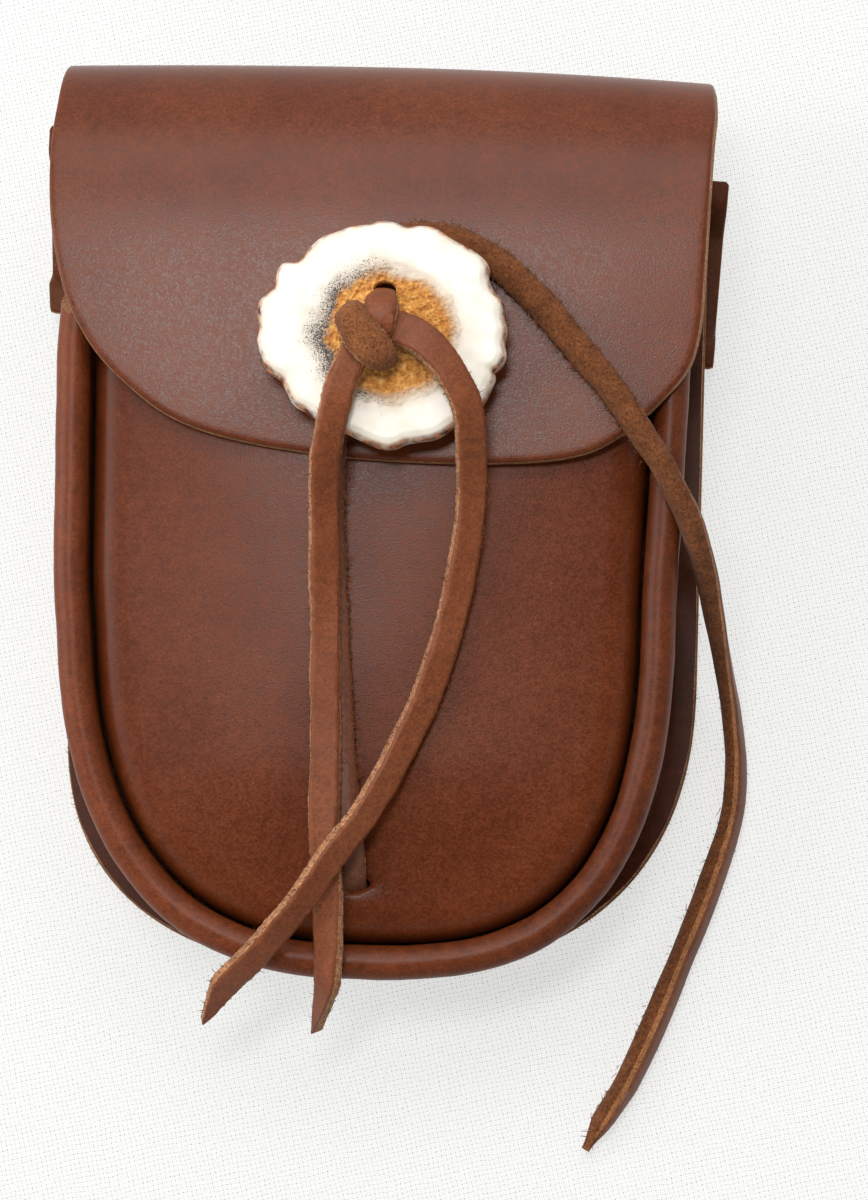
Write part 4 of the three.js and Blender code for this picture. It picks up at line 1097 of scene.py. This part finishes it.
def make_knot():
    """The lace that holds the button: up through the hole, under the wrap, and behind the flap."""
    tongue = [
        [2.1, 34.4, 41.0], [2.1, 34.4, 46.0], [2.1, 34.3, 50.8], [2.1, 33.9, 53.6], [2.0, 33.0, 55.4],
        [1.8, 31.6, 56.4], [1.8, 29.9, 56.7], [1.9, 28.2, 56.4], [2.2, 26.6, 55.5], [2.4, 25.2, 54.2],
    ]
    frames = cross_frames(tongue, (-1, 0.08, 0))
    at_y, halves = [25.2, 26.6, 28.4, 30.4, 32.2, 33.6, 34.4], [1.3, 1.9, 2.6, 2.95, 2.85, 2.1, 1.75]
    width = np.interp(frames[0][:, 1], at_y, halves)
    bodies = [strip(frames, -width, width, 1.9, 21.0, cup=0.3, hairs=0.8)]
    wrap = [
        [-2.6, 28.6, 53.4], [-3.6, 29.7, 53.8], [-4.2, 30.3, 55.0], [-3.8, 29.8, 56.5],
        [-2.6, 28.0, 57.3], [-0.8, 25.4, 57.6], [1.3, 23.3, 57.3], [2.8, 22.2, 56.1],
        [3.3, 22.2, 54.6], [2.7, 23.0, 53.4],
    ]
    frames = cross_frames(wrap, (-0.71, -0.7, 0.0))
    share = frames[3] / frames[3][-1]
    width = np.interp(share, [0, 0.2, 0.33, 0.5, 0.66, 0.78, 0.88, 1], [2.6, 2.8, 3.05, 3.4, 3.3, 2.9, 2.2, 1.4])
    flipped = np.ones(len(width), bool)
    bodies.append(strip(frames, -width, width, 2.0, 31.0, cup=0.8, flipped=flipped, hairs=3.0))
    bar = [
        [1.8, 37.0, 47.0], [1.8, 36.9, 42.6], [1.8, 36.0, 39.8], [1.8, 33.6, 38.8], [1.8, 31.2, 39.8],
        [1.8, 30.3, 42.6], [1.8, 30.4, 48.0], [1.8, 30.3, 53.4],
    ]
    frames = cross_frames(bar, (1, 0, 0), 0.4)
    width = np.full(len(frames[0]), 2.1)
    bodies.append(strip(frames, -width, width, 2.0, 41.0))
    piece = make_piece("lace_knot", *joined(*bodies), ("lace", "raw", "wrap"), sharp=60)
    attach(piece, "root")
    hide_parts("button_lace")


# Stitches

def stitch(start, end, up, radius=0.34):
    """One thread stitch that dips into the leather at both ends."""
    side = unit(np.cross(end - start, up))
    rings = []
    for share in np.linspace(0, 1, 7):
        arch = math.sin(math.pi * share) ** 0.5
        centre = start + (end - start) * share + up * (0.26 * arch - 0.3)
        rings.append(circle(centre, radius * (0.55 + 0.45 * arch), side, up, 8))
    return tube(rings)


def row_of_stitches(line, up, pitch=3.4, share=0.74):
    line = evenly(line, pitch)
    found = []
    for a, b in zip(line[:-1], line[1:]):
        middle, reach = (a + b) / 2, (b - a) * share / 2
        found.append(stitch(middle - reach, middle + reach, np.asarray(up, float)))
    return found


def make_stitches():
    bodies = []
    for across in (-0.87, 0.87):
        x = np.linspace(-1, 1, 30) * (LOOP_LENGTH / 2 - 2.5)
        line = loop_place(x, np.full(30, across), -LEATHER / 2)
        bodies += row_of_stitches(line, (0, 0, -1))
    piece = make_piece("stitching", *joined(*bodies), ["thread"])
    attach(piece, "root")


# Stage

# Brightness of the studio by height of direction, and its lean to the left and back.
SKY = [(0.0, 0.72), (0.45, 0.88), (0.64, 1.0), (0.77, 0.7), (0.86, 0.015)]
SKY_TINT = (0.985, 1.0, 0.995)
SKY_LEAN, SKY_STRENGTH = (-0.34, 0.36, 0.0), 0.98

# Place and size in metres, and power in watts.
SOFTBOXES = {
    "overhead_softbox": ((-0.09, 0.15, 1.1), (0.36, 0.15), 5.5),
    "back_softbox": ((0.0, 0.62, 0.95), (0.8, 0.4), 4.3),
    "left_softbox": ((-0.85, 0.05, 0.5), (0.3, 0.8), 4.0),
}
SOFTBOX_TINT = (1.0, 0.98, 0.975)
CLOTH_HALF_M, CLOTH_DROP_M = 3.0, 0.0002


def make_stage():
    mesh = bpy.data.meshes.new("cloth")
    corners = [(x * CLOTH_HALF_M, y * CLOTH_HALF_M, 0) for x, y in ((-1, -1), (1, -1), (1, 1), (-1, 1))]
    mesh.from_pydata(corners, [], [(0, 1, 2, 3)])
    mesh.materials.append(cloth_material())
    cloth = add_object("cloth", mesh)
    cloth.location.z = -CLOTH_DROP_M
    world = bpy.data.worlds.new("studio")
    bpy.context.scene.world = world
    world.use_nodes = True
    tree = world.node_tree
    tree.nodes.clear()
    where = add_node(tree, "TexCoord").outputs["Generated"]
    ramp = add_node(tree, "ValToRGB", (), add_node(tree, "SeparateXYZ", (), where).outputs[2])
    set_stops(ramp, [(height, [bright * tint for tint in SKY_TINT]) for height, bright in SKY])
    lean = add_node(tree, "VectorMath", {"operation": "DOT_PRODUCT"}, where, SKY_LEAN).outputs["Value"]
    strength = add_node(tree, "Math", {"operation": "ADD"}, lean, SKY_STRENGTH).outputs[0]
    sky = add_node(tree, "Background", (), ramp.outputs[0], strength)
    add_node(tree, "OutputWorld", (), sky.outputs[0])
    for name, (place, size, power) in SOFTBOXES.items():
        lamp = bpy.data.lights.new(name, "AREA")
        lamp.shape = "RECTANGLE"
        lamp.size, lamp.size_y = size
        lamp.energy = power
        lamp.color = SOFTBOX_TINT
        light = add_object(name, lamp)
        light.location = place
        light.rotation_euler = Vector(place).to_track_quat("Z", "Y").to_euler()
    view = bpy.context.scene.view_settings
    view.view_transform = "Standard"
    view.look = "None"
    view.exposure = 0.0


make_camera()
make_laces()
make_knot()
make_button()
make_back_and_flap()
make_front_panel()
make_gusset()
make_belt_loop()
make_stitches()
make_stage()
